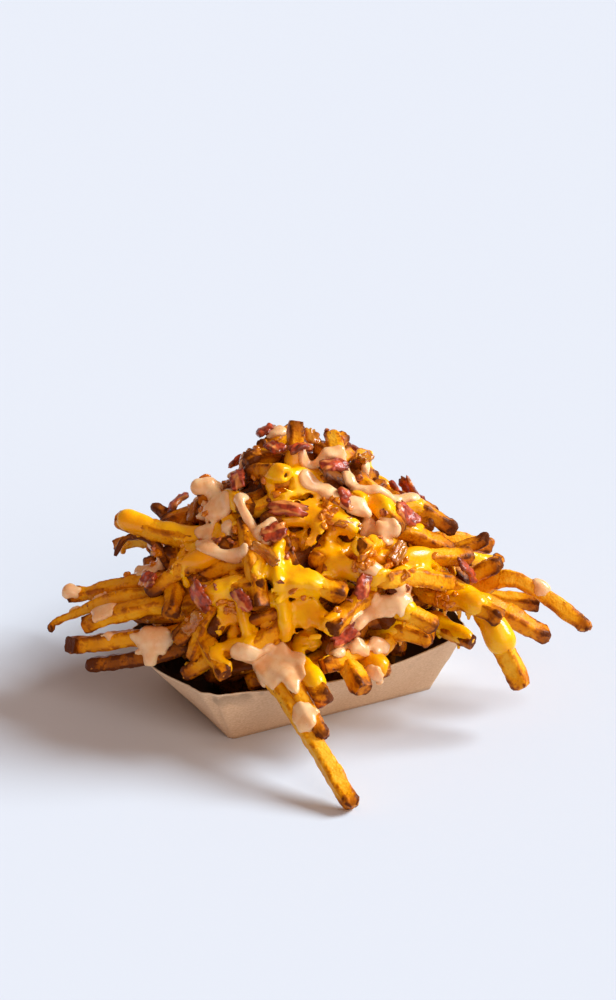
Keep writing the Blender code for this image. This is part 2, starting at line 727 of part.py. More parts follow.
def weld_some(bm, moved):
    """Welds every edge that may be, the shortest first, none beside another, and says how many it did.

    moved is the layer that holds how far the surface at each vertex has moved by all its welds so far.
    """
    bm.normal_update()
    targets, busy = {}, set()
    for edge in sorted(bm.edges, key=lambda edge: edge.calc_length()):
        first, second = edge.verts
        if first in busy or second in busy or len(edge.link_faces) != 2:
            continue
        for vert, target in ((first, second), (second, first)):
            move = weld_move(vert, target)
            if move is not None and vert[moved] + move < MOST_WELD_MOVE:
                target[moved] = max(target[moved], vert[moved] + move)
                targets[vert] = target
                for end in (vert, target):
                    busy.update(corner for face in end.link_faces for corner in face.verts)
                break
    bmesh.ops.weld_verts(bm, targetmap=targets)
    return len(targets)


def islands_of(bm):
    """The faces of each body of a mesh."""
    left = set(bm.faces)
    islands = []
    while left:
        front = [left.pop()]
        island = set(front)
        while front:
            beside = {other for edge in front.pop().edges for other in edge.link_faces} & left
            left -= beside
            island |= beside
            front += beside
        islands.append(island)
    return islands


def runs_along(face, edge):
    """Whether a face goes round from the edge's first end to its second."""
    return any(loop.vert == edge.verts[0] and loop.link_loop_next.vert == edge.verts[1] for loop in face.loops)


def part_pinch(bm, edge):
    """Parts two bodies that touch along an edge: two of its four faces get a middle point, drawn into their body."""
    first, second = edge.verts
    axis = (second.co - first.co).normalized()
    across = axis.orthogonal().normalized()

    def turn(face):
        far = next(vert for vert in face.verts if vert not in edge.verts).co - first.co
        return math.atan2(far.dot(axis.cross(across)), far.dot(across))

    faces = list(edge.link_faces)
    ahead = next(face for face in faces if runs_along(face, edge))
    others = [face for face in faces if not runs_along(face, edge)]
    behind = min(others, key=lambda face: (turn(ahead) - turn(face)) % math.tau)
    if set(ahead.verts) != set(behind.verts):
        inwards = -(ahead.normal + behind.normal)
        middle = bm.verts.new((first.co + second.co) / 2 + inwards * PINCH)
        for face in (ahead, behind):
            corners = list(face.verts)
            for end in (first, second):
                bm.faces.new([middle if corner is end else corner for corner in corners])
    bmesh.ops.delete(bm, geom=[ahead, behind], context="FACES_ONLY")


def merged(bm):
    """The triangles with points that nearly coincide made one, and without faces that then lie back to back."""
    same = bmesh.ops.find_doubles(bm, verts=bm.verts, dist=SAME_PLACE)["targetmap"]
    layers = {}
    for face in bm.faces:
        corners = [same.get(vert, vert) for vert in face.verts]
        if len(set(corners)) == 3:
            layers.setdefault(frozenset(corners), []).append(corners)
    sound = bmesh.new()
    made = {}
    for faces in layers.values():
        first = faces[0]
        ahead = [face for face in faces if face[(face.index(first[0]) + 1) % 3] is first[1]]
        behind = [face for face in faces if face not in ahead]
        if len(ahead) == len(behind):
            continue
        corners = max(ahead, behind, key=len)[0]
        for corner in corners:
            if corner not in made:
                made[corner] = sound.verts.new(corner.co)
        sound.faces.new([made[corner] for corner in corners])
    bm.free()
    return sound


def triangulated(mesh):
    """A mesh's triangles, without points that only two faces share, and with at most two faces at each edge."""
    bm = bmesh.new()
    bm.from_mesh(mesh)
    bmesh.ops.dissolve_verts(bm, verts=[vert for vert in bm.verts if len(vert.link_edges) == 2])
    bmesh.ops.delete(bm, geom=[edge for edge in bm.edges if not edge.link_faces], context="EDGES")
    bmesh.ops.triangulate(bm, faces=bm.faces[:])
    bm = merged(bm)
    bm.normal_update()
    for edge in [edge for edge in bm.edges if len(edge.link_faces) == 4]:
        if edge.is_valid and len(edge.link_faces) == 4:
            part_pinch(bm, edge)
    bmesh.ops.delete(bm, geom=[edge for edge in bm.edges if not edge.link_faces], context="EDGES")
    return bm


def part_pinches(obj):
    bm = triangulated(obj.data)
    bm.to_mesh(obj.data)
    bm.free()


def clean_up(obj):
    """Keeps the main body of what a Boolean made, without scraps or sealed hollows, and welds its slivers away."""
    bm = triangulated(obj.data)
    islands = sorted(islands_of(bm), key=len)
    spare = [face for island in islands[:-1] for face in island]
    bmesh.ops.delete(bm, geom=spare, context="FACES")
    moved = bm.verts.layers.float.new("moved")
    for _ in range(WELD_ROUNDS):
        if not weld_some(bm, moved):
            break
    bm.verts.layers.float.remove(moved)
    bm.to_mesh(obj.data)
    bm.free()


def empty_collection(collection):
    for obj in list(collection.objects):
        bpy.data.objects.remove(obj)
    bpy.data.collections.remove(collection)


def make_sauce(collection, core_tree, heap_tree, strands, fat_fries):
    """The cheese sauce nodes, and the columns that clear the heap away where they lie."""
    columns = new_collection("sauce_columns", cutters=True)
    height = sauce_height(heap_tree)
    material = new_material("cheese_sauce")
    for name, run, widths in CHEESE_SAUCE:
        trims = new_collection(f"{name}_trims", cutters=True)
        sauce = sauce_sheet(name, collection, run, widths, core_tree, UNDER_SAUCE, height, 0)
        for owner, foot, fat in ((trims, UNDER_SAUCE, TRIM_FAT), (columns, COLUMN_FOOT, COLUMN_FAT)):
            sauce_sheet(f"{name}_column", owner, run, widths, core_tree, foot, column_height, fat)
        join(sauce, "UNION", strands)
        join(sauce, "INTERSECT", trims)
        join(sauce, "DIFFERENCE", fat_fries)
        clean_up(sauce)
        sauce.data.materials.clear()
        sauce.data.materials.append(material)
        empty_collection(trims)
    return columns


def make_heap(collection):
    """The heap's node and the sauce on it. It gives back the bare core's surface."""
    course = new_collection("course_fries", cutters=True)
    laid = new_collection("laid_fries", cutters=True)
    fat = new_collection("fat_fries", cutters=True)
    pink = new_collection("pink_sauce", cutters=True)
    heap = make_core(collection)
    core_tree = tree_of([heap])
    paths = make_laid_fries(laid, fat, core_tree)
    make_course_fries(course, core_tree, paths.values())
    heap_tree = tree_of([heap, *course.objects, *laid.objects])
    make_strands(pink, heap_tree)
    columns = make_sauce(collection, core_tree, heap_tree, pink, fat)
    make_blobs(laid, paths)
    join(heap, "UNION", course)
    join(heap, "UNION", pink)
    join(heap, "DIFFERENCE", columns)
    part_pinches(heap)
    join(heap, "UNION", laid)
    clean_up(heap)
    heap.data.materials.clear()
    heap.data.materials.append(new_material("fried_potato"))
    for spent in (course, laid, fat, pink, columns):
        empty_collection(spent)
    return core_tree


def touches(verts, faces, others, other_tree):
    """Whether a chip at these points comes too near the surfaces already there."""
    for vert in verts:
        if other_tree.find_nearest(vert, CHIP_CLEARANCE)[0] is not None:
            return True
    chip_tree = BVHTree.FromPolygons(verts, faces)
    if chip_tree.overlap(other_tree):
        return True
    middle = sum(verts, Vector()) / len(verts)
    reach = max((vert - middle).length for vert in verts) + CHIP_CLEARANCE
    near = (other for other in others if (other - middle).length < reach)
    return any(chip_tree.find_nearest(other, CHIP_CLEARANCE)[0] is not None for other in near)


def chip_points(along, towards, length, bend):
    """A chip's middle line, bent towards or away from the heap."""
    shares = [index / (CHIP_RINGS - 1) * 2 - 1 for index in range(CHIP_RINGS)]
    return [along * length / 2 * share + towards * bend * share**2 for share in shares]


def slide_in(chip, towards, core_tree, near, solid):
    """Moves a chip in towards the heart until it rests on what is there, and says how high over the core it is."""
    core = (surface(core_tree, towards) - HEART).length
    shape = [vert.co + HEART for vert in chip.data.vertices]
    faces = [list(face.vertices) for face in chip.data.polygons]
    out = core + CHIP_START
    while touches([vert + towards * out for vert in shape], faces, near, solid):
        out += CHIP_STEP * 4
    while not touches([vert + towards * (out - CHIP_STEP) for vert in shape], faces, near, solid):
        out -= CHIP_STEP
    for vert, place in zip(chip.data.vertices, shape):
        vert.co = place + towards * out
    return out - core


def drop_chips(kind, places, thickness, bow, material, collection, core_tree):
    """Chips of one kind, each slid in towards the heart from outside, the way round that lets it lie deepest."""
    rng = random.Random(f"{kind}{SEED}")
    for number, (bearing, rise, length, width) in enumerate(places):
        placed = [obj for obj in collection.objects if obj.name != "paper_boat"]
        solid = tree_of(placed)
        corners = [vert.co.copy() for obj in placed for vert in obj.data.vertices]
        middle = heading(bearing, rise)
        near = [corner for corner in corners if (corner - HEART).normalized().dot(middle) > CHIP_CONE]
        tries = []
        for _ in range(CHIP_TRIES):
            turn, lift, side_lean, end_lean = (rng.uniform(-1, 1) for _ in range(4))
            towards = heading(bearing + turn * CHIP_JITTER, rise + lift * CHIP_JITTER)
            along = Matrix.Rotation(rng.uniform(0, math.tau), 3, towards) @ towards.orthogonal().normalized()
            leant = towards + along.cross(towards) * side_lean * CHIP_LEAN[0] + along * end_lean * CHIP_LEAN[1]
            points = chip_points(along, leant, length * MM, bow * rng.uniform(*CHIP_BOW))
            chip = make_strip(
                kind, collection, points, width * MM / 2, thickness / 2,
                4, CHIP_END, 0, 0, CHIP_EVENNESS, number + turn, leant.normalized(),
            )
            tries.append((slide_in(chip, towards, core_tree, near, solid), chip))
        tries.sort(key=lambda one: one[0])
        for _, spare in tries[1:]:
            bpy.data.objects.remove(spare)
        chip = tries[0][1]
        chip.name = f"{kind}_{number + 1:02d}"
        chip.data.materials.append(material)


def main():
    clear_scene()
    collection = new_collection("loaded_fries")
    make_boat(collection)
    core_tree = make_heap(collection)
    bacon, onion = new_material("bacon"), new_material("soft_onion")
    drop_chips("bacon", BACON, BACON_THICKNESS, BACON_BOW, bacon, collection, core_tree)
    drop_chips("onion", ONION, ONION_THICKNESS, ONION_BOW, onion, collection, core_tree)


main()
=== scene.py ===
"""Loaded fries in a paper boat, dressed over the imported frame.

The boat, the heap of fries, the two sauces and the toppings are each made by a class. Units are metres,
+Z is up and the origin is the middle of the boat's underside. A Place on the heap is its bearing and its
rise, two angles in degrees from the heap's heart. A Spot is a point as the eater sees the heap: across, out
and up in millimetres.
"""

import logging
import math
import random
from collections.abc import Iterable
from dataclasses import asdict, dataclass, field
from enum import Enum

import bmesh
import bpy
import numpy as np
from bpy.types import Material, Mesh, Node, NodeSocket, NodeTree, Object
from mathutils import Matrix, Vector, noise
from mathutils.bvhtree import BVHTree


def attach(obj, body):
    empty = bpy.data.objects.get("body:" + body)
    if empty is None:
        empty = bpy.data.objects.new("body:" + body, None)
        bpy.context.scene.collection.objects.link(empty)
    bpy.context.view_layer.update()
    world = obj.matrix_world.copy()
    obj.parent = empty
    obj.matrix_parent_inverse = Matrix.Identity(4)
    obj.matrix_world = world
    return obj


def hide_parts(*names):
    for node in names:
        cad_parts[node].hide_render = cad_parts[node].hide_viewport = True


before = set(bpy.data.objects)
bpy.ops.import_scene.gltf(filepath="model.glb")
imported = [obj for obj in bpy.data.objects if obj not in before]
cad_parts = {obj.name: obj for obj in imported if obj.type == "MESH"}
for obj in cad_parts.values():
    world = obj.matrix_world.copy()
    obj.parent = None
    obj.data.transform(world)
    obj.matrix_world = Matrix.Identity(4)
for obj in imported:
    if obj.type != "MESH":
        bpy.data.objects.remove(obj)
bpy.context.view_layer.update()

log = logging.getLogger("loaded_fries")

MM = 0.001
SEED = 23
UP = Vector((0, 0, 1))
HEART = Vector((0, 0, 40 * MM))
REACH = 200 * MM
SHOW_TURN = math.radians(-28)

Place = tuple[float, float]
Spot = tuple[float, float, float]
Colour = tuple[float, float, float]
Span = tuple[float, float]
Blotch = tuple[float, float, float]

# Each fry's name, root and tip as Spots, the rise of its middle and its thickness in mm.
LAID_FRIES = (
    ("prop", (-13, 59, 36), (22, 113.5, 3.1), 3, 7.6),
    ("beside_prop", (-9, 61, 38), (11, 91, 22), 3, 6.6),
    ("left_high", (-40, 18, 78), (-79, 5, 82), -1, 7.6),
    ("left_curl", (-54, 16, 62), (-78, 2, 72), 9, 3.6),
    ("left_dark", (-53, -10, 71), (-65, -16, 80), 1, 4.6),
    ("left_sauced", (-39, 34, 76), (-63, 28, 58), 2, 7.0),
    ("left_long", (-48, 25, 60), (-101, 0, 43), 3, 7.2),
    ("left_longest", (-46, 30, 55), (-112, 5, 32), 7, 7.0),
    ("left_under", (-50, 35, 55), (-92, 22, 40), 3, 6.6),
    ("left_pale", (-57, 36, 41), (-98, 18, 27.5), 1, 7.2),
    ("left_brown", (-59, 38, 33.5), (-92, 24, 21), 0, 6.4),
    ("front_left", (-18, 58, 48), (-48, 48, 29), 3, 7.2),
    ("front_rough", (-37, 46, 58), (-45, 52, 38), 0, 7.4),
    ("front_end_on", (-19, 30, 24), (-19, 54, 28.5), 0, 7.6),
    ("front_coated", (0, 58, 38), (11, 80, 33), 2, 8.4),
    ("front_yellow", (18, 50, 36), (27, 68, 32), 2, 7.6),
    ("front_middle", (27, 44, 36), (36, 58, 34), 1, 8.2),
    ("front_cross", (36, 42, 40), (10, 60, 39), 1, 7.4),
    ("right_front", (36, 40, 58), (58, 46, 50), 1, 7.0),
    ("right_low", (36, 36, 44), (56, 42, 42), 1, 7.0),
    ("right_in_boat", (40, 14, 27), (44, 22, 28.5), 0, 7.6),
    ("right_rim", (54, 10, 36), (74, 30, 35), 1, 6.6),
    ("right_longest", (74, 0, 46), (128, 8, 31), 12, 7.0),
    ("right_behind", (70, -12, 38), (106, -6, 36), 1, 6.2),
    ("right_long", (70, 14, 48), (107, 18, 32), 3, 7.4),
    ("right_coated", (73, 28, 54), (95, 46, 21), 5, 8.0),
    ("right_rough", (64, 28, 54), (85, 42, 52), 2, 7.2),
    ("right_pointed", (61, 4, 52), (87, 8, 63), -2, 7.0),
    ("right_curl", (64, 0, 59), (81, -4, 68), 3, 6.2),
    ("right_high", (41, 4, 88), (67, 6, 77), 3, 7.0),
    ("right_upper", (43, 17, 82), (66, 12, 69), 1, 7.2),
    ("right_middle", (40, 32, 74), (73, 14, 68), 1, 7.2),
    ("right_lower", (34, 44, 72), (65, 28, 63), 1, 7.2),
    ("top", (-3, 8, 104), (-1, 0, 125), 0, 6.6),
    ("top_small", (-15, 2, 100), (-16, -6, 114), 1, 5.2),
    ("upper_left", (-15, 24, 96), (-29, 22, 84), 2, 6.6),
    ("middle_left", (-18, 36, 77), (-41, 34, 68), 2, 6.8),
    ("middle_lower", (-36, 46, 66), (-14, 52, 73), 1, 7.2),
    ("middle", (-5, 50, 73), (20, 54, 69), 2, 7.6),
    ("back_long", (-10, -44, 60), (-34, -92, 42), 5, 7.2),
    ("back_right", (34, -40, 62), (62, -82, 48), 4, 7.4),
    ("back_low", (16, -52, 40), (14, -86, 25), 2, 7.0),
    ("back_second", (0, -46, 52), (-14, -82, 44), -1, 6.6),
    ("back_drooping", (-32, -44, 48), (-50, -76, 24), 3, 7.2),
    ("back_under", (30, -48, 42), (58, -72, 30), 2, 6.8),
    ("back_across", (-34, -36, 72), (8, -54, 66), 2, 7.2),
    ("back_across_low", (6, -58, 44), (48, -50, 50), 1, 7.2),
    ("back_end", (56, -14, 62), (86, -28, 54), 3, 7.0),
    ("back_upper", (20, -26, 92), (40, -34, 78), 1, 7.0),
    ("back_left", (-44, -30, 52), (-84, -54, 44), 4, 7.2),
    ("back_high", (6, -30, 88), (20, -54, 96), 2, 6.8),
    ("back_corner", (54, -30, 44), (92, -50, 34), 5, 7.0),
)

# How the tips of some fries bend off, as Spots from where they do.
HOOKS = {
    "left_longest": (-5, 1, -6), "left_curl": (-5, 1, -8), "left_long": (-7, 2, 1),
    "left_pale": (-6, 2, 1), "right_longest": (4, 2, -5), "right_curl": (3, 0, 4),
    "right_long": (6, -1, -2), "back_drooping": (-2, -3, -5), "back_corner": (4, -1, 4),
}

# How dark some fries are, and how much some narrow to their tips.
TONES = {
    "left_dark": 0.42, "left_curl": 0.62, "left_brown": 0.54,
    "top": 0.1, "right_high": 0.42, "right_curl": 0.42,
}
TAPERS = {
    "left_longest": 1.15, "left_curl": 0.9, "left_long": 0.4, "front_rough": 0.5,
    "right_curl": 0.5, "back_drooping": 0.8, "back_left": 0.5,
}

# The Spots that some fries of the courses point to, by their numbers.
LAID_AGAIN = {33: (-43, 7, 93)}

# Each run of cheese sauce: the Places along its middle and half its width at each in mm.
CHEESE_RUNS = (
    (((-105, 82), (-114, 69), (-102, 58), (-91, 46), (-84, 37)), (8, 13, 15, 13, 8)),
    (((-131, 44), (-124, 33), (-116, 22), (-113, 10), (-117, 1)), (7, 11, 12, 11, 7)),
    (((-152, 28), (-147, 18), (-142, 8)), (6, 8, 6)),
    (((-60, 60), (-42, 50), (-24, 41)), (6, 9, 7)),
    (((-58, 24), (-46, 16), (-35, 8), (-30, 0)), (7, 9, 8, 6)),
    (((-178, 54), (-173, 43), (178, 31)), (8, 10, 7)),
    (((80, 66), (74, 48), (64, 32), (58, 14), (64, 2)), (9, 15, 13, 10, 7)),
    (((22, 44), (8, 28), (14, 10)), (9, 12, 8)),
    (((130, 57), (118, 41), (127, 24), (120, 8)), (8, 13, 11, 8)),
)

# Each strand of pink sauce: the Places along it and half its width in mm.
PINK_STRANDS = (
    (((-112, 84), (-73, 80), (-48, 70), (-57, 64)), 3.4),
    (((-114, 75), (-88, 70), (-75, 61), (-66, 50), (-65, 41)), 4.2),
    (((-56, 62), (-45, 54), (-31, 45)), 3.2),
    (((160, 58), (175, 55), (-170, 56)), 4.6),
    (((-161, 60), (-153, 55), (-142, 51), (-134, 56)), 3.2),
    (((178, 45), (-171, 40), (-157, 39), (-145, 43)), 4.2),
    (((-88, 37), (-79, 30), (-70, 20), (-84, 17), (-96, 14)), 4.4),
    (((-142, 6), (-128, 0), (-118, -6)), 5.0),
    (((100, 78), (84, 66), (96, 52), (78, 40)), 4.0),
    (((40, 72), (30, 58), (44, 46), (34, 32)), 3.6),
    (((132, 68), (144, 54), (134, 40)), 3.8),
    (((48, 22), (66, 18), (84, 22), (92, 12)), 4.2),
    (((150, 30), (164, 22), (156, 10)), 4.0),
)

# Splats on single fries: the fry's name, how far along it and the radius in mm.
FRY_BLOBS = (
    ("prop", 0.72, 6.2), ("left_long", 0.93, 5.2), ("left_under", 0.88, 6.4),
    ("right_longest", 0.6, 4.8), ("back_long", 0.7, 5.4),
)


def between(low: float, high: float, share: float) -> float:
    """The value a share of the way from low to high."""
    return low + (high - low) * share


def clamped(value: float) -> float:
    """A value held between 0 and 1."""
    return max(0.0, min(1.0, value))


def heading(bearing: float, rise: float) -> Vector:
    """The direction from the heap's heart at a bearing and a rise in degrees."""
    turn, lift = math.radians(bearing), math.radians(rise)
    return Vector((math.cos(lift) * math.cos(turn), math.cos(lift) * math.sin(turn), math.sin(lift)))


def from_show(spot: Spot) -> Vector:
    """The point at a Spot."""
    across, out, up = spot
    return Matrix.Rotation(SHOW_TURN, 3, "Z") @ Vector((across, -out, up)) * MM


def catmull(before: Vector, start: Vector, end: Vector, after: Vector, share: float) -> Vector:
    """A point of the smooth curve from start to end that also heeds the points on either side.

    Args:
        before: The point before start.
        start: Where the curve starts.
        end: Where it ends.
        after: The point after end.
        share: How far along it the point lies, from 0 to 1.

    Returns:
        The point.
    """
    first = end - before
    second = before * 2 - start * 5 + end * 4 - after
    third = start * 3 - before - end * 3 + after
    return (start * 2 + first * share + second * share**2 + third * share**3) * 0.5


def smooth_run(values: list[Vector], count: int) -> list[Vector]:
    """Evenly spaced points of a smooth curve.

    Args:
        values: The points that the curve passes through.
        count: How many points to give.

    Returns:
        The points, the first and the last of values among them.
    """
    run = []
    for step in range(count):
        place = step / (count - 1) * (len(values) - 1)
        index = min(int(place), len(values) - 2)
        before = values[max(index - 1, 0)]
        after = values[min(index + 2, len(values) - 1)]
        run.append(catmull(before, values[index], values[index + 1], after, place - index))
    return run


def length_of(points: list[Vector]) -> float:
    """The length of the line through some points."""
    return sum((after - before).length for before, after in zip(points, points[1:]))


def pulled_taut(levels: np.ndarray, rounds: int) -> np.ndarray:
    """Levels along a line, raised where a thick run of sauce would span the dips between them."""
    taut = levels.copy()
    for _ in range(rounds):
        padded = np.pad(taut, 1, mode="edge")
        taut = np.maximum(levels, (padded[:-2] + padded[2:]) / 2)
    return taut


def surface(tree: BVHTree, towards: Vector) -> Vector:
    """The outermost point of a surface in a direction from the heap's heart, or the nearest one to it."""
    hit = tree.ray_cast(HEART + towards * REACH, -towards)[0]
    return hit if hit is not None else tree.find_nearest(HEART + towards * REACH / 3)[0]


def seen(tree: BVHTree, place: Vector, view: Vector, start: float) -> tuple[Vector | None, Vector | None]:
    """Where a ray that starts off a place, so many mm towards the viewer, meets a surface, and its normal."""
    return tree.ray_cast(place + view * start * MM, -view)[:2]


def link(mesh: Mesh, name: str) -> Object:
    """An object that shows a mesh in the scene."""
    obj = bpy.data.objects.new(name, mesh)
    bpy.context.scene.collection.objects.link(obj)
    return obj


def smooth_shaded(mesh: Mesh) -> None:
    """Shades every face of a mesh smooth."""
    mesh.polygons.foreach_set("use_smooth", np.ones(len(mesh.polygons), bool))
    mesh.update()


def corners_of(mesh: Mesh) -> np.ndarray:
    """A mesh's points as rows."""
    flat = np.empty(len(mesh.vertices) * 3, np.float32)
    mesh.vertices.foreach_get("co", flat)
    return flat.reshape(-1, 3)


def tree_of(meshes: list[Mesh]) -> BVHTree:
    """A search tree over the surfaces of some meshes.

    Args:
        meshes: The meshes, all in the object's own frame.

    Returns:
        The tree.
    """
    points: list[Vector] = []
    faces: list[list[int]] = []
    for mesh in meshes:
        first = len(points)
        points += [vert.co.copy() for vert in mesh.vertices]
        faces += [[first + index for index in face.vertices] for face in mesh.polygons]
    return BVHTree.FromPolygons(points, faces)


def write_attribute(mesh: Mesh, name: str, values: list[float] | np.ndarray) -> None:
    """Keeps one number for each point of a mesh under a name that nodes can read."""
    layer = mesh.attributes.new(name, "FLOAT", "POINT")
    layer.data.foreach_set("value", np.asarray(values, np.float32))


def put(tree: NodeTree, kind: str, inputs: dict | None = None, **settings: object) -> Node:
    """Adds a node to a tree.

    Args:
        tree: The node tree.
        kind: Blender's name for the kind of node.
        inputs: By input name or number, a value to set or a socket to join.
        **settings: Properties of the node itself.

    Returns:
        The node.
    """
    node = tree.nodes.new(kind)
    for key, value in settings.items():
        setattr(node, key, value)
    for key, value in (inputs or {}).items():
        if isinstance(value, NodeSocket):
            tree.links.new(value, node.inputs[key])
        else:
            node.inputs[key].default_value = value
    return node


def math_of(tree: NodeTree, operation: str, *values: object) -> NodeSocket:
    """The result of a Math node on up to three values or sockets."""
    return put(tree, "ShaderNodeMath", dict(enumerate(values)), operation=operation).outputs[0]


def vector_of(tree: NodeTree, operation: str, first: object, second: object) -> NodeSocket:
    """The vector that a Vector Math node gives for two vectors or sockets."""
    return put(tree, "ShaderNodeVectorMath", {0: first, 1: second}, operation=operation).outputs[0]


def scaled(tree: NodeTree, vector: NodeSocket, by: object) -> NodeSocket:
    """A vector made longer by a number or socket."""
    return put(tree, "ShaderNodeVectorMath", {0: vector, "Scale": by}, operation="SCALE").outputs[0]


def ranged(tree: NodeTree, value: object, low: float, high: float, start: float, end: float) -> NodeSocket:
    """A value taken smoothly from the range between low and high to the range between start and end."""
    inputs = {0: value, 1: low, 2: high, 3: start, 4: end}
    return put(tree, "ShaderNodeMapRange", inputs, interpolation_type="SMOOTHSTEP").outputs[0]


def noise_of(tree: NodeTree, vector: object, scale: object, detail: float) -> Node:
    """A noise at a scale in grains a metre: its first output is a number, its Color is three."""
    return put(tree, "ShaderNodeTexNoise", {"Vector": vector, "Scale": scale, "Detail": detail})


def swung(tree: NodeTree, vector: object, scale: object, detail: float, by: object) -> NodeSocket:
    """A noise that swings to either side of 0 by up to half an amount."""
    middle = math_of(tree, "SUBTRACT", noise_of(tree, vector, scale, detail).outputs[0], 0.5)
    return math_of(tree, "MULTIPLY", middle, by)


def swung_vector(tree: NodeTree, vector: object, scale: object, by: object) -> NodeSocket:
    """A noise in space that swings to either side of nothing by up to half an amount."""
    colour = noise_of(tree, vector, scale, 1.0).outputs["Color"]
    return scaled(tree, vector_of(tree, "SUBTRACT", colour, (0.5, 0.5, 0.5)), by)


def named(tree: NodeTree, name: str, kind: str = "FLOAT") -> NodeSocket:
    """What a geometry's points hold under a name."""
    node = put(tree, "GeometryNodeInputNamedAttribute", {"Name": name}, data_type=kind)
    return node.outputs["Attribute"]


def store(tree: NodeTree, shape: NodeSocket, name: str, value: object) -> NodeSocket:
    """A geometry whose points hold a number under a name."""
    inputs = {"Geometry": shape, "Name": name, "Value": value}
    settings = {"data_type": "FLOAT", "domain": "POINT"}
    return put(tree, "GeometryNodeStoreNamedAttribute", inputs, **settings).outputs[0]


def change(tree: NodeTree, kind: str, shape: NodeSocket, **inputs: object) -> NodeSocket:
    """The geometry that a Geometry Nodes node of a kind makes of another."""
    return put(tree, "GeometryNode" + kind, {"Geometry": shape, **inputs}).outputs[0]


def start_tree(name: str, **inputs: float) -> tuple[NodeTree, Node, Node]:
    """Starts a Geometry Nodes tree that changes a geometry.

    Args:
        name: The tree's name.
        **inputs: Its inputs beside the geometry, named as they are in Python: a whole number makes an Int.

    Returns:
        The tree, its input node and its output node.
    """
    kinds = {int: "NodeSocketInt", float: "NodeSocketFloat"}
    sockets = [(key.replace("_", " ").title(), kinds[type(value)], value) for key, value in inputs.items()]
    geometry = ("Geometry", "NodeSocketGeometry")
    return new_group(name, "GeometryNodeTree", [(*geometry, None), *sockets], [geometry])


def end_tree(tree: NodeTree, gives: Node, shape: NodeSocket, material: Material) -> NodeTree:
    """Ends a tree with smooth shading, realized instances and a material.

    Args:
        tree: The tree.
        gives: Its output node.
        shape: The geometry that it has made.
        material: What the geometry is made of.

    Returns:
        The tree.
    """
    shape = change(tree, "SetShadeSmooth", shape)
    shape = change(tree, "RealizeInstances", shape)
    shape = change(tree, "SetMaterial", shape, Material=material)
    tree.links.new(shape, gives.inputs["Geometry"])
    return tree


def new_group(
    name: str, kind: str, inputs: list[tuple[str, str, object]], outputs: list[tuple[str, str]]
) -> tuple[NodeTree, Node, Node]:
    """Starts a node group.

    Args:
        name: The group's name.
        kind: Whether it holds shader or geometry nodes.
        inputs: Name, socket type and default value of each input.
        outputs: Name and socket type of each output.

    Returns:
        The group, its input node and its output node.
    """
    group = bpy.data.node_groups.new(name, kind)
    for label, socket, default in inputs:
        made = group.interface.new_socket(label, in_out="INPUT", socket_type=socket)
        if default is not None:
            made.default_value = default
    for label, socket in outputs:
        group.interface.new_socket(label, in_out="OUTPUT", socket_type=socket)
    return group, group.nodes.new("NodeGroupInput"), group.nodes.new("NodeGroupOutput")


def made_plain(obj: Object) -> Object:
    """Makes an object's modifiers a part of its mesh."""
    graph = bpy.context.evaluated_depsgraph_get()
    mesh = bpy.data.meshes.new_from_object(obj.evaluated_get(graph), depsgraph=graph)
    obj.modifiers.clear()
    spent = obj.data
    mesh.name = obj.name
    obj.data = mesh
    bpy.data.meshes.remove(spent)
    return obj


def use_tree(obj: Object, group: NodeTree, **values: object) -> Object:
    """Runs a Geometry Nodes tree on an object and keeps the plain mesh that it makes.

    Args:
        obj: The object whose mesh feeds the tree.
        group: The tree.
        **values: The tree's inputs by name.

    Returns:
        The same object with the finished mesh.
    """
    modifier = obj.modifiers.new(group.name, "NODES")
    modifier.node_group = group
    for item in group.interface.items_tree:
        if item.item_type == "SOCKET" and item.in_out == "INPUT" and item.name in values:
            modifier[item.identifier] = values[item.name]
    return made_plain(obj)


def put_in_frame(piece: Object, nodes: Iterable[str] = (), slot: str = "") -> None:
    """Rides a finished piece on the body, in the place of its solids, and reports it."""
    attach(piece, "root")
    if nodes:
        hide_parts(*nodes)
    log.info("%s: %d faces", piece.name, len(piece.data.polygons))


def outward(mesh: Mesh, least: int = 0) -> None:
    """Merges doubles, drops specks and turns every closed shell's faces outwards.

    Args:
        mesh: The mesh.
        least: The fewest faces that a shell needs to be kept.
    """
    bm = bmesh.new()
    bm.from_mesh(mesh)
    bmesh.ops.remove_doubles(bm, verts=bm.verts, dist=0.001 * MM)
    left = set(bm.faces) if least else set()
    specks = []
    while left:
        front = [left.pop()]
        shell = list(front)
        while front:
            beside = {other for edge in front.pop().edges for other in edge.link_faces} & left
            left -= beside
            shell += beside
            front += beside
        if len(shell) < least:
            specks += shell
    bmesh.ops.delete(bm, geom=specks, context="FACES")
    bmesh.ops.recalc_face_normals(bm, faces=bm.faces)
    bm.to_mesh(mesh)
    bm.free()


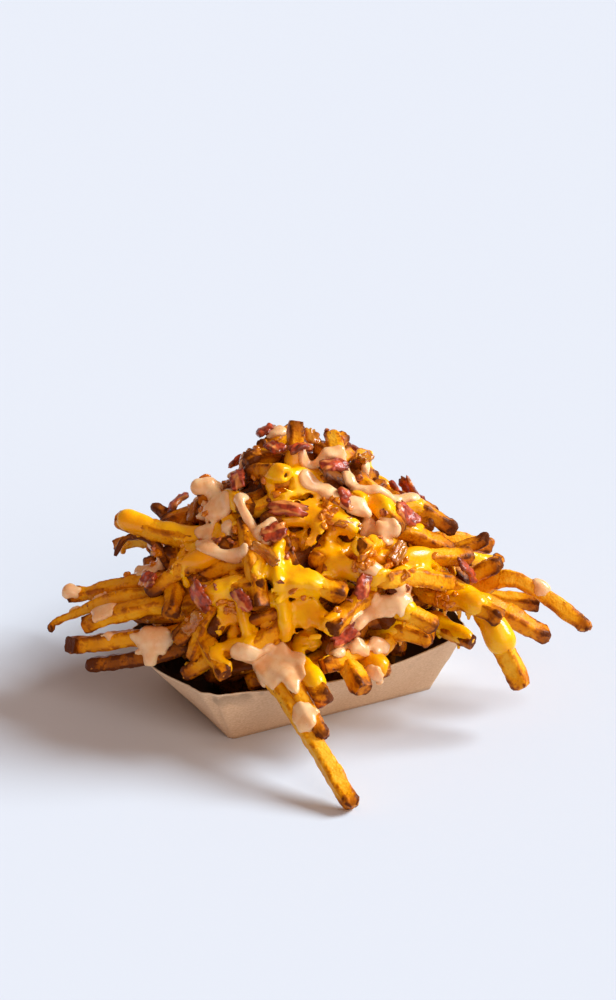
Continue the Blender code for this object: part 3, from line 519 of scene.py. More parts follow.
class Effects:
    """The shader groups that several materials share."""

    def __init__(self) -> None:
        """Builds each group once."""
        self.mottle = self._mottle()
        self.relief = self._relief()

    @staticmethod
    def _mottle() -> NodeTree:
        """Blotches: a mask that wanders between none and all over the surface."""
        inputs = [
            ("Vector", "NodeSocketVector", None),
            ("Grain", "NodeSocketFloat", 100.0),
            ("Low", "NodeSocketFloat", 0.4),
            ("High", "NodeSocketFloat", 0.6),
        ]
        group, given, gives = new_group("mottle", "ShaderNodeTree", inputs, [("Mask", "NodeSocketFloat")])
        own = given.outputs
        grain = noise_of(group, own["Vector"], own["Grain"], 2.0)
        grain.inputs["Roughness"].default_value = 0.6
        mask = ranged(group, grain.outputs[0], own["Low"], own["High"], 0.0, 1.0)
        group.links.new(mask, gives.inputs["Mask"])
        return group

    @staticmethod
    def _relief() -> NodeTree:
        """Lumps and blisters: a height made of a coarse noise, a fine noise and pits."""
        inputs = [
            ("Vector", "NodeSocketVector", None),
            ("Grain", "NodeSocketFloat", 300.0),
            ("Fine", "NodeSocketFloat", 0.4),
            ("Pits", "NodeSocketFloat", 0.3),
        ]
        group, given, gives = new_group("relief", "ShaderNodeTree", inputs, [("Height", "NodeSocketFloat")])
        grain, vector = given.outputs["Grain"], given.outputs["Vector"]
        coarse = noise_of(group, vector, grain, 2.0).outputs[0]
        fine = noise_of(group, vector, math_of(group, "MULTIPLY", grain, 5.0), 1.0).outputs[0]
        pit_grain = math_of(group, "MULTIPLY", grain, 2.2)
        pits = put(group, "ShaderNodeTexVoronoi", {"Vector": vector, "Scale": pit_grain}, feature="F1")
        total = math_of(group, "MULTIPLY_ADD", fine, given.outputs["Fine"], coarse)
        total = math_of(group, "MULTIPLY_ADD", pits.outputs["Distance"], given.outputs["Pits"], total)
        group.links.new(total, gives.inputs["Height"])
        return group


class Paint:
    """A material being made: its nodes, and short ways to add and join them."""

    def __init__(self, name: str, effects: Effects) -> None:
        """Starts a material that reads Object coordinates.

        Args:
            name: The material's name.
            effects: The shared groups.
        """
        self.material = bpy.data.materials.new(name)
        self.material.use_nodes = True
        self.tree = self.material.node_tree
        self.shader = self.tree.nodes["Principled BSDF"]
        self.effects = effects
        self.place = put(self.tree, "ShaderNodeTexCoord").outputs["Object"]

    def attribute(self, name: str) -> NodeSocket:
        """A number that the mesh holds for each point."""
        return put(self.tree, "ShaderNodeAttribute", attribute_name=name).outputs["Fac"]

    def mottle(self, blotch: Blotch) -> NodeSocket:
        """A mask of blotches: their grain a metre, and the noise where they start and where they are full."""
        node = put(self.tree, "ShaderNodeGroup", {0: self.place}, node_tree=self.effects.mottle)
        for name, value in zip(("Grain", "Low", "High"), blotch):
            node.inputs[name].default_value = value
        return node.outputs["Mask"]

    def blotched(self, blotch: Blotch, span: Span) -> NodeSocket:
        """A value that goes from one end of a span to the other in blotches."""
        return ranged(self.tree, self.mottle(blotch), 0, 1, *span)

    def times(self, value: object, by: object) -> NodeSocket:
        """A value multiplied by another."""
        return math_of(self.tree, "MULTIPLY", value, by)

    def mixed(self, share: object, first: object, second: object) -> NodeSocket:
        """A colour a share of the way from the first to the second.

        Args:
            share: A number or socket from 0 to 1.
            first: A colour or socket.
            second: A colour or socket.

        Returns:
            The colour's socket.
        """
        node = put(self.tree, "ShaderNodeMix", data_type="RGBA")
        for index, value in ((0, share), (6, first), (7, second)):
            if isinstance(value, NodeSocket):
                self.tree.links.new(value, node.inputs[index])
            else:
                node.inputs[index].default_value = (*value, 1) if index else value
        return node.outputs[2]

    def ramp(self, share: NodeSocket, stops: tuple[tuple[float, Colour], ...]) -> NodeSocket:
        """A colour read from a ramp of stops at a share from 0 to 1."""
        node = put(self.tree, "ShaderNodeValToRGB", {0: share})
        ends = node.color_ramp.elements
        for index, (stop, colour) in enumerate(stops):
            element = ends[index] if index < 2 else ends.new(stop)
            element.position = stop
            element.color = (*colour, 1)
        return node.outputs["Color"]

    def bump(self, grain: float, fine: float, pits: float, depth: float) -> None:
        """Joins the relief group to the shader's Normal.

        Args:
            grain: Lumps a metre.
            fine: How much of the fine noise to add.
            pits: How much of the pits to add.
            depth: How deep the relief is in mm.
        """
        relief = put(self.tree, "ShaderNodeGroup", {0: self.place}, node_tree=self.effects.relief)
        for name, value in (("Grain", grain), ("Fine", fine), ("Pits", pits)):
            relief.inputs[name].default_value = value
        inputs = {"Height": relief.outputs["Height"], "Distance": depth * MM, "Strength": 1.0}
        node = put(self.tree, "ShaderNodeBump", inputs)
        self.tree.links.new(node.outputs["Normal"], self.shader.inputs["Normal"])

    def finish(self, colour: object, roughness: object, values: dict[str, object] | None = None) -> Material:
        """Joins colour and roughness, sets the shader's other inputs and gives the material.

        Args:
            colour: A colour or socket.
            roughness: A number or socket.
            values: The shader's other inputs by name.

        Returns:
            The material.
        """
        for name, value in (("Base Color", colour), ("Roughness", roughness)):
            if isinstance(value, NodeSocket):
                self.tree.links.new(value, self.shader.inputs[name])
            else:
                self.shader.inputs[name].default_value = (*value, 1) if name == "Base Color" else value
        for name, value in (values or {}).items():
            self.shader.inputs[name].default_value = value
        return self.material


def gloss(specular: float, coat: float, coat_roughness: float) -> dict[str, object]:
    """The shader's inputs for a wet or oily shine."""
    return {"Specular IOR Level": specular, "Coat Weight": coat, "Coat Roughness": coat_roughness}


def glow(weight: float, depth: float, radius: Colour) -> dict[str, object]:
    """The shader's inputs for light that goes some mm deep, by red, green and blue."""
    return {"Subsurface Weight": weight, "Subsurface Scale": depth * MM, "Subsurface Radius": radius}


@dataclass(frozen=True)
class PotatoFinish:
    """Fried potato: golden faces, browner edges and ends, an oily sheen."""

    pale: Colour = (0.94, 0.48, 0.03)
    golden: Colour = (0.88, 0.335, 0.001)
    amber: Colour = (0.54, 0.14, 0.0)
    brown: Colour = (0.12, 0.024, 0.001)
    golden_at: float = 0.28
    amber_at: float = 0.6
    end_blotch: Blotch = (130, 0.35, 0.6)
    end_browning: Span = (0.3, 0.75)
    edge_blotch: Blotch = (210, 0.36, 0.6)
    edge_browning: Span = (0.1, 0.48)
    speckle: tuple[Blotch, float] = ((340, 0.52, 0.7), 0.22)
    cloud: tuple[Blotch, float] = ((90, 0.4, 0.68), 0.18)
    dry_blotch: Blotch = (260, 0.3, 0.7)
    roughness: Span = (0.3, 0.52)

    def material(self, effects: Effects) -> Material:
        """The potato's material."""
        paint = Paint("fried_potato", effects)
        tree = paint.tree
        browning = math_of(tree, "SUBTRACT", 1.0, paint.attribute("end"))
        browning = paint.times(browning, paint.blotched(self.end_blotch, self.end_browning))
        edges = paint.times(paint.attribute("edge"), paint.blotched(self.edge_blotch, self.edge_browning))
        share = math_of(tree, "ADD", browning, edges)
        for blotch, browned in (self.speckle, self.cloud):
            share = math_of(tree, "MULTIPLY_ADD", paint.mottle(blotch), browned, share)
        # Each fry's own darkness: browning, and for the left fries, the layer below and the middle, painted
        # shade.
        share = math_of(tree, "ADD", share, paint.attribute("tone"))
        middle = ((self.golden_at, self.golden), (self.amber_at, self.amber))
        stops = ((0.0, self.pale), (1.0, self.brown), *middle)
        colour = paint.ramp(share, stops)
        paint.bump(420, 0.3, 0.5, 0.35)
        return paint.finish(
            colour, paint.blotched(self.dry_blotch, self.roughness),
            glow(0.08, 1.0, (1.0, 0.5, 0.15)) | gloss(0.1, 0.04, 0.25),
        )


@dataclass(frozen=True)
class CheeseFinish:
    """Cheese sauce: glossy, deep yellow, a little lighter in blotches."""

    deep: Colour = (0.94, 0.35, 0.0)
    light: Colour = (1.0, 0.50, 0.0)
    blotch: Blotch = (70, 0.35, 0.65)
    dull_blotch: Blotch = (190, 0.35, 0.7)
    roughness: Span = (0.16, 0.3)

    def material(self, effects: Effects) -> Material:
        """The cheese sauce's material."""
        paint = Paint("cheese_sauce", effects)
        colour = paint.mixed(paint.mottle(self.blotch), self.deep, self.light)
        paint.bump(210, 0.25, 0.15, 0.25)
        return paint.finish(
            colour, paint.blotched(self.dull_blotch, self.roughness),
            glow(0.12, 2.0, (1.0, 0.45, 0.03)) | gloss(0.25, 0.16, 0.06),
        )


@dataclass(frozen=True)
class PinkFinish:
    """Pink sauce: creamy, opaque, softly glossy."""

    deep: Colour = (0.89, 0.445, 0.18)
    light: Colour = (0.965, 0.61, 0.32)
    spice: Colour = (0.5, 0.13, 0.04)
    spice_share: float = 0.35
    blotch: Blotch = (120, 0.35, 0.65)
    specks: Blotch = (900, 0.66, 0.72)
    dull_blotch: Blotch = (200, 0.35, 0.7)
    roughness: Span = (0.22, 0.36)

    def material(self, effects: Effects) -> Material:
        """The pink sauce's material."""
        paint = Paint("pink_sauce", effects)
        colour = paint.mixed(paint.mottle(self.blotch), self.deep, self.light)
        colour = paint.mixed(paint.times(paint.mottle(self.specks), self.spice_share), colour, self.spice)
        paint.bump(260, 0.2, 0.15, 0.15)
        return paint.finish(
            colour, paint.blotched(self.dull_blotch, self.roughness),
            glow(0.3, 2.0, (1.0, 0.5, 0.3)) | gloss(0.4, 0.2, 0.15),
        )


@dataclass(frozen=True)
class BaconFinish:
    """Crisp bacon: red brown meat with pale streaks of fat along it and charred edges."""

    meat: Colour = (0.22, 0.018, 0.005)
    bright: Colour = (0.57, 0.068, 0.012)
    fat: Colour = (0.82, 0.29, 0.07)
    char: Colour = (0.09, 0.02, 0.004)
    blotch: Blotch = (260, 0.35, 0.65)
    streak_noise: Span = (0.52, 0.64)
    streak_share: float = 0.9
    char_blotch: Blotch = (180, 0.38, 0.62)
    char_share: float = 0.8
    dull_noise: Span = (0.45, 0.65)
    roughness: Span = (0.42, 0.24)

    def material(self, effects: Effects) -> Material:
        """The bacon's material."""
        paint = Paint("bacon", effects)
        tree = paint.tree
        place = {0: paint.times(paint.attribute("along"), 0.6), 1: paint.attribute("across")}
        flow = put(tree, "ShaderNodeCombineXYZ", place).outputs[0]
        streaks = noise_of(tree, flow, 1.0, 1.0).outputs[0]
        meat = paint.mixed(paint.mottle(self.blotch), self.meat, self.bright)
        streaked = ranged(tree, streaks, *self.streak_noise, 0.0, self.streak_share)
        colour = paint.mixed(streaked, meat, self.fat)
        burnt = paint.times(paint.attribute("rim"), paint.mottle(self.char_blotch))
        colour = paint.mixed(paint.times(burnt, self.char_share), colour, self.char)
        paint.bump(380, 0.3, 0.3, 0.2)
        return paint.finish(
            colour, ranged(tree, streaks, *self.dull_noise, *self.roughness),
            glow(0.1, 1.0, (1.0, 0.3, 0.15)) | gloss(0.3, 0.2, 0.1),
        )


@dataclass(frozen=True)
class OnionFinish:
    """Soft onion: amber, clear and wet, with darker edges."""

    clear: Colour = (0.88, 0.38, 0.02)
    amber: Colour = (0.66, 0.19, 0.004)
    edge: Colour = (0.36, 0.08, 0.003)
    edge_share: float = 0.6
    blotch: Blotch = (150, 0.35, 0.65)
    dull_blotch: Blotch = (240, 0.35, 0.7)
    roughness: Span = (0.1, 0.22)
    clearness: float = 0.45
    ior: float = 1.35

    def material(self, effects: Effects) -> Material:
        """The onion's material."""
        paint = Paint("soft_onion", effects)
        colour = paint.mixed(paint.mottle(self.blotch), self.clear, self.amber)
        colour = paint.mixed(paint.times(paint.attribute("rim"), self.edge_share), colour, self.edge)
        paint.bump(200, 0.15, 0.1, 0.2)
        clear = {"Transmission Weight": self.clearness, "IOR": self.ior}
        rough = paint.blotched(self.dull_blotch, self.roughness)
        return paint.finish(colour, rough, clear | gloss(0.4, 0.5, 0.05))


@dataclass(frozen=True)
class KraftFinish:
    """Kraft paper board: tan and fibrous outside, greasy brown inside and darkened further there with painted
    shade, a pale cut edge at the rim.
    """

    tan: Colour = (0.86, 0.59, 0.37)
    dark: Colour = (0.70, 0.44, 0.25)
    grease: Colour = (0.055, 0.024, 0.014)
    cut: Colour = (0.86, 0.68, 0.48)
    fibre_grain: float = 900
    fibre_stretch: Colour = (1.0, 1.0, 3.5)
    fibre_noise: Span = (0.3, 0.7)
    cloud: Blotch = (45, 0.4, 0.7)
    cloud_share: float = 0.3
    soak_and_shade_share: float = 0.93
    stain: Blotch = (60, 0.5, 0.6)
    stain_share: float = 0.55
    roughness: Span = (0.78, 0.4)

    def material(self, effects: Effects) -> Material:
        """The paper's material."""
        paint = Paint("kraft_paper", effects)
        tree = paint.tree
        stretch = {"Vector": paint.place, "Scale": self.fibre_stretch}
        stretched = put(tree, "ShaderNodeMapping", stretch).outputs[0]
        fibres = noise_of(tree, stretched, self.fibre_grain, 4.0).outputs[0]
        colour = paint.mixed(ranged(tree, fibres, *self.fibre_noise, 0, 1), self.dark, self.tan)
        colour = paint.mixed(paint.times(paint.mottle(self.cloud), self.cloud_share), colour, self.dark)
        # The inside is mixed almost to the grease colour: grease, and painted shade under the fries; it is
        # glossier too.
        soaked_and_shaded = paint.times(paint.attribute("inside"), self.soak_and_shade_share)
        colour = paint.mixed(soaked_and_shaded, colour, self.grease)
        stain = paint.times(paint.attribute("stain"), paint.mottle(self.stain))
        colour = paint.mixed(paint.times(stain, self.stain_share), colour, self.grease)
        colour = paint.mixed(paint.attribute("cut"), colour, self.cut)
        paint.bump(700, 0.5, 0.2, 0.08)
        return paint.finish(colour, ranged(tree, math_of(tree, "ADD", soaked_and_shaded, stain), 0, 1, *self.roughness))


@dataclass(frozen=True)
class FleckFinish:
    """Small crumbs and flecks in two colours."""

    name: str
    first: Colour
    second: Colour
    roughness: float = 0.6
    blotch: Blotch = (500, 0.4, 0.6)

    def material(self, effects: Effects) -> Material:
        """The flecks' material."""
        paint = Paint(self.name, effects)
        colour = paint.mixed(paint.mottle(self.blotch), self.first, self.second)
        paint.bump(900, 0.3, 0.3, 0.1)
        return paint.finish(colour, self.roughness)


@dataclass
class PaperBoat:
    """The folded paper boat.

    Its outline follows the CAD boat's, with rounder corners, soft pleats at the corners and a slack rim.
    """

    base: Span = (100 * MM, 64 * MM)
    rim: Span = (134 * MM, 84 * MM)
    height: float = 27 * MM
    paper: float = 0.8 * MM
    corners: Span = (3 * MM, 15 * MM)
    bulge: float = 6 * MM
    dip: float = 2.5 * MM
    pleat: float = 0.7 * MM
    corner_steps: int = 12
    side_steps: int = 32
    wall_steps: int = 12
    cut_depth: float = 0.25 * MM
    pleats: int = 3
    waves: tuple[Span, ...] = ((55, 0.9), (190, 0.25))
    wave_share: float = 0.75
    stain_depth: float = 9 * MM

    def outline(self, share: float) -> list[Vector]:
        """The boat's outline, anticlockwise, at a share of the way up its wall."""
        half_x = between(self.base[0], self.rim[0], share) / 2
        half_y = between(self.base[1], self.rim[1], share) / 2
        corner = between(*self.corners, share)
        points = []
        for quarter in range(4):
            turned = Matrix.Rotation(math.radians(90 * quarter), 3, "Z")
            long_ahead = quarter % 2 == 0
            reach, breadth = (half_x, half_y) if long_ahead else (half_y, half_x)
            for step in range(self.corner_steps + 1):
                angle = math.radians(90) * step / self.corner_steps
                fold = self.pleat * share * math.sin(math.pi * step / self.corner_steps)
                fold *= math.cos(math.tau * self.pleats * step / self.corner_steps)
                ahead = reach - corner + (corner + fold) * math.cos(angle)
                aside = breadth - corner + (corner + fold) * math.sin(angle)
                points.append(turned @ Vector((ahead, aside, 0)) + UP * self.height * share)
            for step in range(1, self.side_steps):
                along = step / self.side_steps
                swell = math.sin(math.pi * along) * share
                ahead = between(reach - corner, corner - reach, along)
                place = turned @ Vector((ahead, breadth + self.bulge * swell, 0))
                dip = self.dip * swell if long_ahead else 0
                points.append(place + UP * (self.height * share - dip))
        return points

    def build(self) -> Object:
        """Makes the boat's walls and base."""
        bm = bmesh.new()
        rings = []
        levels = [level / self.wall_steps for level in range(self.wall_steps + 1)]
        levels.insert(-1, 1 - self.cut_depth / self.height)
        for share in levels:
            ring = []
            for point in self.outline(share):
                out = Vector((point.x, point.y, 0)).normalized()
                wave = sum(noise.noise(point * grain) * height * MM for grain, height in self.waves)
                wave_here = math.sin(math.pi * min(share, self.wave_share))
                ring.append(bm.verts.new(point + out * wave * wave_here))
            rings.append(ring)
        bm.faces.new(reversed(rings[0]))
        for lower, upper in zip(rings, rings[1:]):
            for index in range(len(lower)):
                after = (index + 1) % len(lower)
                bm.faces.new((lower[index], lower[after], upper[after], upper[index]))
        mesh = bpy.data.meshes.new("folded_boat")
        bm.to_mesh(mesh)
        bm.free()
        boat = link(mesh, "folded_boat")
        wall = boat.modifiers.new("paper", "SOLIDIFY")
        wall.thickness = self.paper
        wall.offset = -1
        wall.use_even_offset = True
        return made_plain(boat)

    def dress(self, boat: Object, material: Material) -> None:
        """Marks the paper's inside and its cut edge, gives it its finish and puts it in the frame."""
        mesh = boat.data
        shell = len(mesh.vertices) // 2
        inner, cut, stain = [], [], []
        for vert in mesh.vertices:
            inner.append(1.0 if vert.index >= shell else 0.0)
            cut.append(1.0 if vert.index % shell >= shell - self.around else 0.0)
            stain.append(max(0.0, 1 - (self.height - vert.co.z) / self.stain_depth))
        for name, values in (("inside", inner), ("cut", cut), ("stain", stain)):
            write_attribute(mesh, name, values)
        mesh.materials.clear()
        mesh.materials.append(material)
        smooth_shaded(mesh)
        put_in_frame(boat, ["paper_boat"], "kraft_paper")

    @property
    def around(self) -> int:
        """How many points the outline has."""
        return 4 * (self.corner_steps + self.side_steps)


@dataclass
class Fry:
    """One fry: its middle line, half its thickness and its roll.

    Its colour runs from pale to dark brown, with painted shade added for the fries on the left and in the
    layer below; ends is how wide its ends are and taper how much it narrows to its tip.
    """

    points: list[Vector]
    half: float
    roll: float
    tone: float
    ends: float
    taper: float = 0.0


@dataclass
class HeapLayout:
    """Where every fry lies: the heap's core, the fries laid one by one and the courses laid round it by rule.
    """

    core_profile: tuple[tuple[float, ...], ...] = (
        (1.3, 44, 27, 5.0), (14, 47, 30, 4.5), (27, 53, 35, 3.5), (40, 60, 46, 2.4),
        (55, 61, 50, 2.1), (75, 49, 43, 2.0), (95, 31, 29, 2.0), (109, 16, 16, 2.0),
        (117, 5, 5, 2.0),
    )
    core_sides: int = 22
    core_rings: int = 12
    core_roughness: float = 3 * MM
    core_grain: float = 45
    courses: tuple[tuple[int, float, float], ...] = (
        (11, -5, 46), (12, 10, 54), (11, 25, 52), (10, 41, 44), (6, 57, 32), (3, 76, 24),
    )
    under_courses: tuple[tuple[int, float, float], ...] = (
        (14, -12, 34), (16, 0, 40), (17, 14, 44), (17, 29, 42), (14, 44, 36), (10, 59, 28),
        (5, 76, 20),
    )
    course_lift: float = 2.4 * MM
    under_lift: float = -2.2 * MM
    jitter: float = 8
    slopes: Span = (-10, 70)
    tilt: Span = (0.1, 0.4)
    bow: Span = (-1.5 * MM, 3 * MM)
    length: Span = (0.75, 1.15)
    thickness: Span = (0.86, 1.14)
    tries: int = 12
    space: float = 4.6 * MM
    most_crowding: int = 4
    fry_side: float = 7 * MM
    fry_room: float = 5.6 * MM
    sauce_room: float = 2.5 * MM
    shorten: float = 0.82
    most_shortenings: int = 4
    root_depth: float = 7 * MM
    root_step: float = 2 * MM
    root_reach: float = 34 * MM
    bend_place: float = 0.35
    path_points: int = 22
    # How much darker the fries on the left are: painted shade.
    shaded: float = 0.14
    hook_place: float = 0.8
    top_rise: float = 50
    top_paler: float = 0.25
    wall_gap: float = 0.4 * MM
    long_fry: float = 36 * MM
    fry_rings: tuple[int, int] = (4, 6)
    track_points: int = 20
    spot_points: int = 8
    crowd_points: int = 9
    laid_rolls: Span = (-0.5, 0.5)
    laid_tones: Span = (0.0, 0.24)
    course_tones: Span = (0.03, 0.37)
    # The under layer's darker tones are painted shade for the gaps between fries, less of it near the top.
    under_painted_shade_tones: Span = (0.3, 0.7)
    end_widths: Span = (0.35, 1.0)
    under_ends: float = 0.6
    under_stray: float = 0.6
    under_rises: Span = (-5, 5)

    def core_radius(self, height: float, turn: float) -> float:
        """How far the core reaches from the middle line at a height and a turn about it."""
        for lower, upper in zip(self.core_profile, self.core_profile[1:]):
            if height <= upper[0] * MM:
                break
        share = clamped((height / MM - lower[0]) / (upper[0] - lower[0]))
        half_x, half_y, boxiness = (between(low, high, share) for low, high in zip(lower[1:], upper[1:]))
        ratio = abs(math.cos(turn) / half_x) ** boxiness + abs(math.sin(turn) / half_y) ** boxiness
        return MM / ratio ** (1 / boxiness)

    def core(self) -> Mesh:
        """The mesh of the heap's solid inside, a sphere whose rings are fitted to the profile."""
        bm = bmesh.new()
        bmesh.ops.create_uvsphere(bm, u_segments=self.core_sides, v_segments=self.core_rings, radius=1)
        low, high = self.core_profile[0][0] * MM, self.core_profile[-1][0] * MM
        rings = self.core_rings
        for vert in bm.verts:
            ring = round((1 - math.acos(max(-1, min(1, vert.co.z))) / math.pi) * rings)
            turn = math.atan2(vert.co.y, vert.co.x)
            height = between(low, high, clamped((ring - 1) / (rings - 2)))
            reach = self.core_radius(height, turn) if 0 < ring < rings else 0
            place = Vector((reach * math.cos(turn), reach * math.sin(turn), height))
            if reach and height > BOAT.height:
                place += place.normalized() * noise.noise(place * self.core_grain) * self.core_roughness
            vert.co = place
        bmesh.ops.triangulate(bm, faces=bm.faces[:])
        mesh = bpy.data.meshes.new("heap_core")
        bm.to_mesh(mesh)
        bm.free()
        return mesh

    def clear_of_boat(self, points: list[Vector], half: float) -> bool:
        """Whether a fry of half a thickness along the points keeps in the boat's wall or above its rim."""
        margin = half + BOAT.paper + self.wall_gap
        for point in points:
            if point.z - half > BOAT.height + self.wall_gap:
                continue
            share = clamped((point.z - half) / BOAT.height)
            room_x = between(BOAT.base[0], BOAT.rim[0], share) / 2 - margin
            room_y = between(BOAT.base[1], BOAT.rim[1], share) / 2 - margin
            corner = between(*BOAT.corners, share)
            past_x, past_y = abs(point.x) - room_x + corner, abs(point.y) - room_y + corner
            past_corner = min(past_x, past_y) > 0 and math.hypot(past_x, past_y) > corner
            too_low = point.z - half < BOAT.paper + self.wall_gap
            if max(past_x, past_y) > corner or past_corner or too_low:
                return False
        return True

    def held(self, tree: BVHTree, point: Vector) -> bool:
        """Whether a point lies well under the core's surface."""
        towards = point - HEART
        hit = surface(tree, towards.normalized())
        return (hit - HEART).length > towards.length + self.root_depth

    def laid_points(self, tree: BVHTree, root: tuple, tip: tuple, bow: float) -> list[Vector]:
        """The four points of a laid fry's curve, from where it is held in the core out to its tip."""
        start, end = from_show(root), from_show(tip)
        back = (start - end).normalized()
        inwards = (HEART + Vector((0, 0, start.z / 2)) - start).normalized()
        pull = 0.0
        while not self.held(tree, start) and pull < self.root_reach:
            pull += self.root_step
            share = pull / self.root_reach
            start += (back * (1 - share) + inwards * share).normalized() * self.root_step
        middle = from_show(root).lerp(end, self.bend_place) + UP * bow * MM
        return [start, from_show(root), middle, end]

    def laid(self, tree: BVHTree) -> dict[str, Fry]:
        """The fries laid one by one, by name."""
        rng = random.Random(SEED + 1)
        looks = random.Random(SEED + 5)
        fries = {}
        for name, root, tip, bow, thickness in LAID_FRIES:
            points = self.laid_points(tree, root, tip, bow)
            roll = rng.uniform(*self.laid_rolls)
            tone = TONES[name] if name in TONES else looks.uniform(*self.laid_tones)
            # The fries on the left get a darker tone: painted shade.
            tone += self.shaded if name.startswith("left") else 0
            ends = looks.uniform(*self.end_widths)
            if name in HOOKS:
                points[-1] = points[-2].lerp(points[-1], self.hook_place)
                points.append(points[-1] + from_show(HOOKS[name]))
            fries[name] = Fry(points, thickness * MM / 2, roll, tone, ends, TAPERS.get(name, 0.0))
        return fries

    def course_place(
        self, tree: BVHTree, rng: random.Random, place: Place, length: float, lift: float
    ) -> list[Vector] | None:
        """One way to lay a fry near a place on the heap.

        Args:
            tree: The core's surface.
            rng: Where its chances come from.
            place: The place.
            length: The fry's length in mm.
            lift: How far its middle stands off the core.

        Returns:
            The fry's points, shortened till it clears the boat, or None.
        """
        out = heading(*place)
        level = out.cross(UP).normalized() * rng.choice((-1, 1))
        down = level.cross(out).normalized()
        down = down if down.z < 0 else -down
        slope = math.radians(rng.uniform(*self.slopes))
        line = (level * math.cos(slope) + down * math.sin(slope) + out * rng.uniform(*self.tilt)).normalized()
        middle = surface(tree, out) + out * lift
        bow = rng.uniform(*self.bow)
        reach = length * MM * rng.uniform(*self.length) / 2
        for _ in range(self.most_shortenings):
            shares = [step / 3 for step in range(4)]
            start, end = middle - line * reach, middle + line * reach
            points = [start.lerp(end, share) + UP * bow * 4 * share * (1 - share) for share in shares]
            if self.clear_of_boat(points, self.fry_room):
                return points
            reach *= self.shorten
        return None

    def sauce_spots(self, tree: BVHTree) -> list[tuple[Vector, float]]:
        """Points on the core along the middle of each run of cheese sauce, with the room that it takes."""
        spots = []
        for run, widths in CHEESE_RUNS:
            spine = smooth_run([surface(tree, heading(*place)) for place in run], self.spot_points)
            halves = smooth_run([Vector((width, 0)) for width in widths], self.spot_points)
            spots += [(place, half.x * MM + self.sauce_room) for place, half in zip(spine, halves)]
        return spots

    def crowding(self, points: list[Vector], others: list[Vector], spots: list[tuple[Vector, float]]) -> int:
        """How many places along a fry lie too near to other fries, or are held under the sauce."""
        along = smooth_run(points, self.crowd_points)
        near = sum(any((point - other).length < self.space for other in others) for point in along)
        return near + sum(any((point - spot).length < room for spot, room in spots) for point in along)

    def course(self, tree: BVHTree, laid: dict[str, Fry]) -> list[Fry]:
        """Fries by rule, course by course round the heap, each laid the least crowded of several ways."""
        rng = random.Random(SEED)
        looks = random.Random(SEED + 6)
        others: list[Vector] = []
        for fry in laid.values():
            rings = self.fry_rings[(fry.points[-1] - fry.points[0]).length > self.long_fry]
            others += smooth_run(smooth_run(fry.points, rings), self.track_points)
        spots = self.sauce_spots(tree)
        fries = []
        for count, rise, length in self.courses:
            offset = rng.random()
            for index in range(count):
                bearing = 360 * (index + offset) / count
                ways = []
                for _ in range(self.tries):
                    turn, lift = (rng.uniform(-self.jitter, self.jitter) for _ in range(2))
                    place = bearing + turn, rise + lift / 2
                    points = self.course_place(tree, rng, place, length, self.course_lift)
                    if points:
                        ways.append((self.crowding(points, others, spots), len(ways), points))
                half = self.fry_side / 2 * rng.uniform(*self.thickness)
                roll = rng.uniform(0, math.pi / 2)
                if not ways or min(ways)[0] > self.most_crowding:
                    continue
                points = min(ways)[2]
                others += smooth_run(points, self.track_points)
                if len(fries) in LAID_AGAIN:
                    tip = from_show(LAID_AGAIN[len(fries)])
                    points = [points[0].lerp(tip, step / 3) for step in range(4)]
                tone, ends = looks.uniform(*self.course_tones), looks.uniform(*self.end_widths)
                fries.append(Fry(points, half, roll, tone, ends))
        return fries

    def under(self, tree: BVHTree) -> list[Fry]:
        """The fries of the layer below, which show through the gaps, toned dark as painted shade, less so
        near the top.
        """
        rng = random.Random(SEED + 2)
        fries = []
        for count, rise, length in self.under_courses:
            for index in range(count):
                bearing = 360 * (index + rng.random() * self.under_stray) / count
                place = bearing, rise + rng.uniform(*self.under_rises)
                points = self.course_place(tree, rng, place, length, self.under_lift)
                half = self.fry_side / 2 * rng.uniform(*self.thickness)
                if points:
                    roll, tone = rng.uniform(0, math.pi / 2), rng.uniform(*self.under_painted_shade_tones)
                    tone -= self.top_paler if rise > self.top_rise else 0
                    fries.append(Fry(points, half, roll, tone, self.under_ends))
        return fries


BOAT = PaperBoat()


@dataclass
class FryShape:
    """The inputs of the Geometry Nodes tree that makes fries."""

    step: float = 1.1 * MM
    corner: float = 0.3
    corner_points: int = 3
    end_round: float = 2.4 * MM
    thinning: float = 0.1
    evenness: float = 0.26
    lumps: float = 0.85 * MM
    lump_grain: float = 180.0
    blisters: float = 0.42 * MM
    blister_grain: float = 600.0
    ragged: float = 1.2
    crookedness: float = 1.8 * MM
    crook_grain: float = 42.0
    sway_grain: float = 95.0
    even_at: float = 0.4
    taper_from: float = 0.5
    browned: float = 9 * MM
    profile_points: int = 20
    edge_from: float = 1.08
    edge_to: float = 1.26


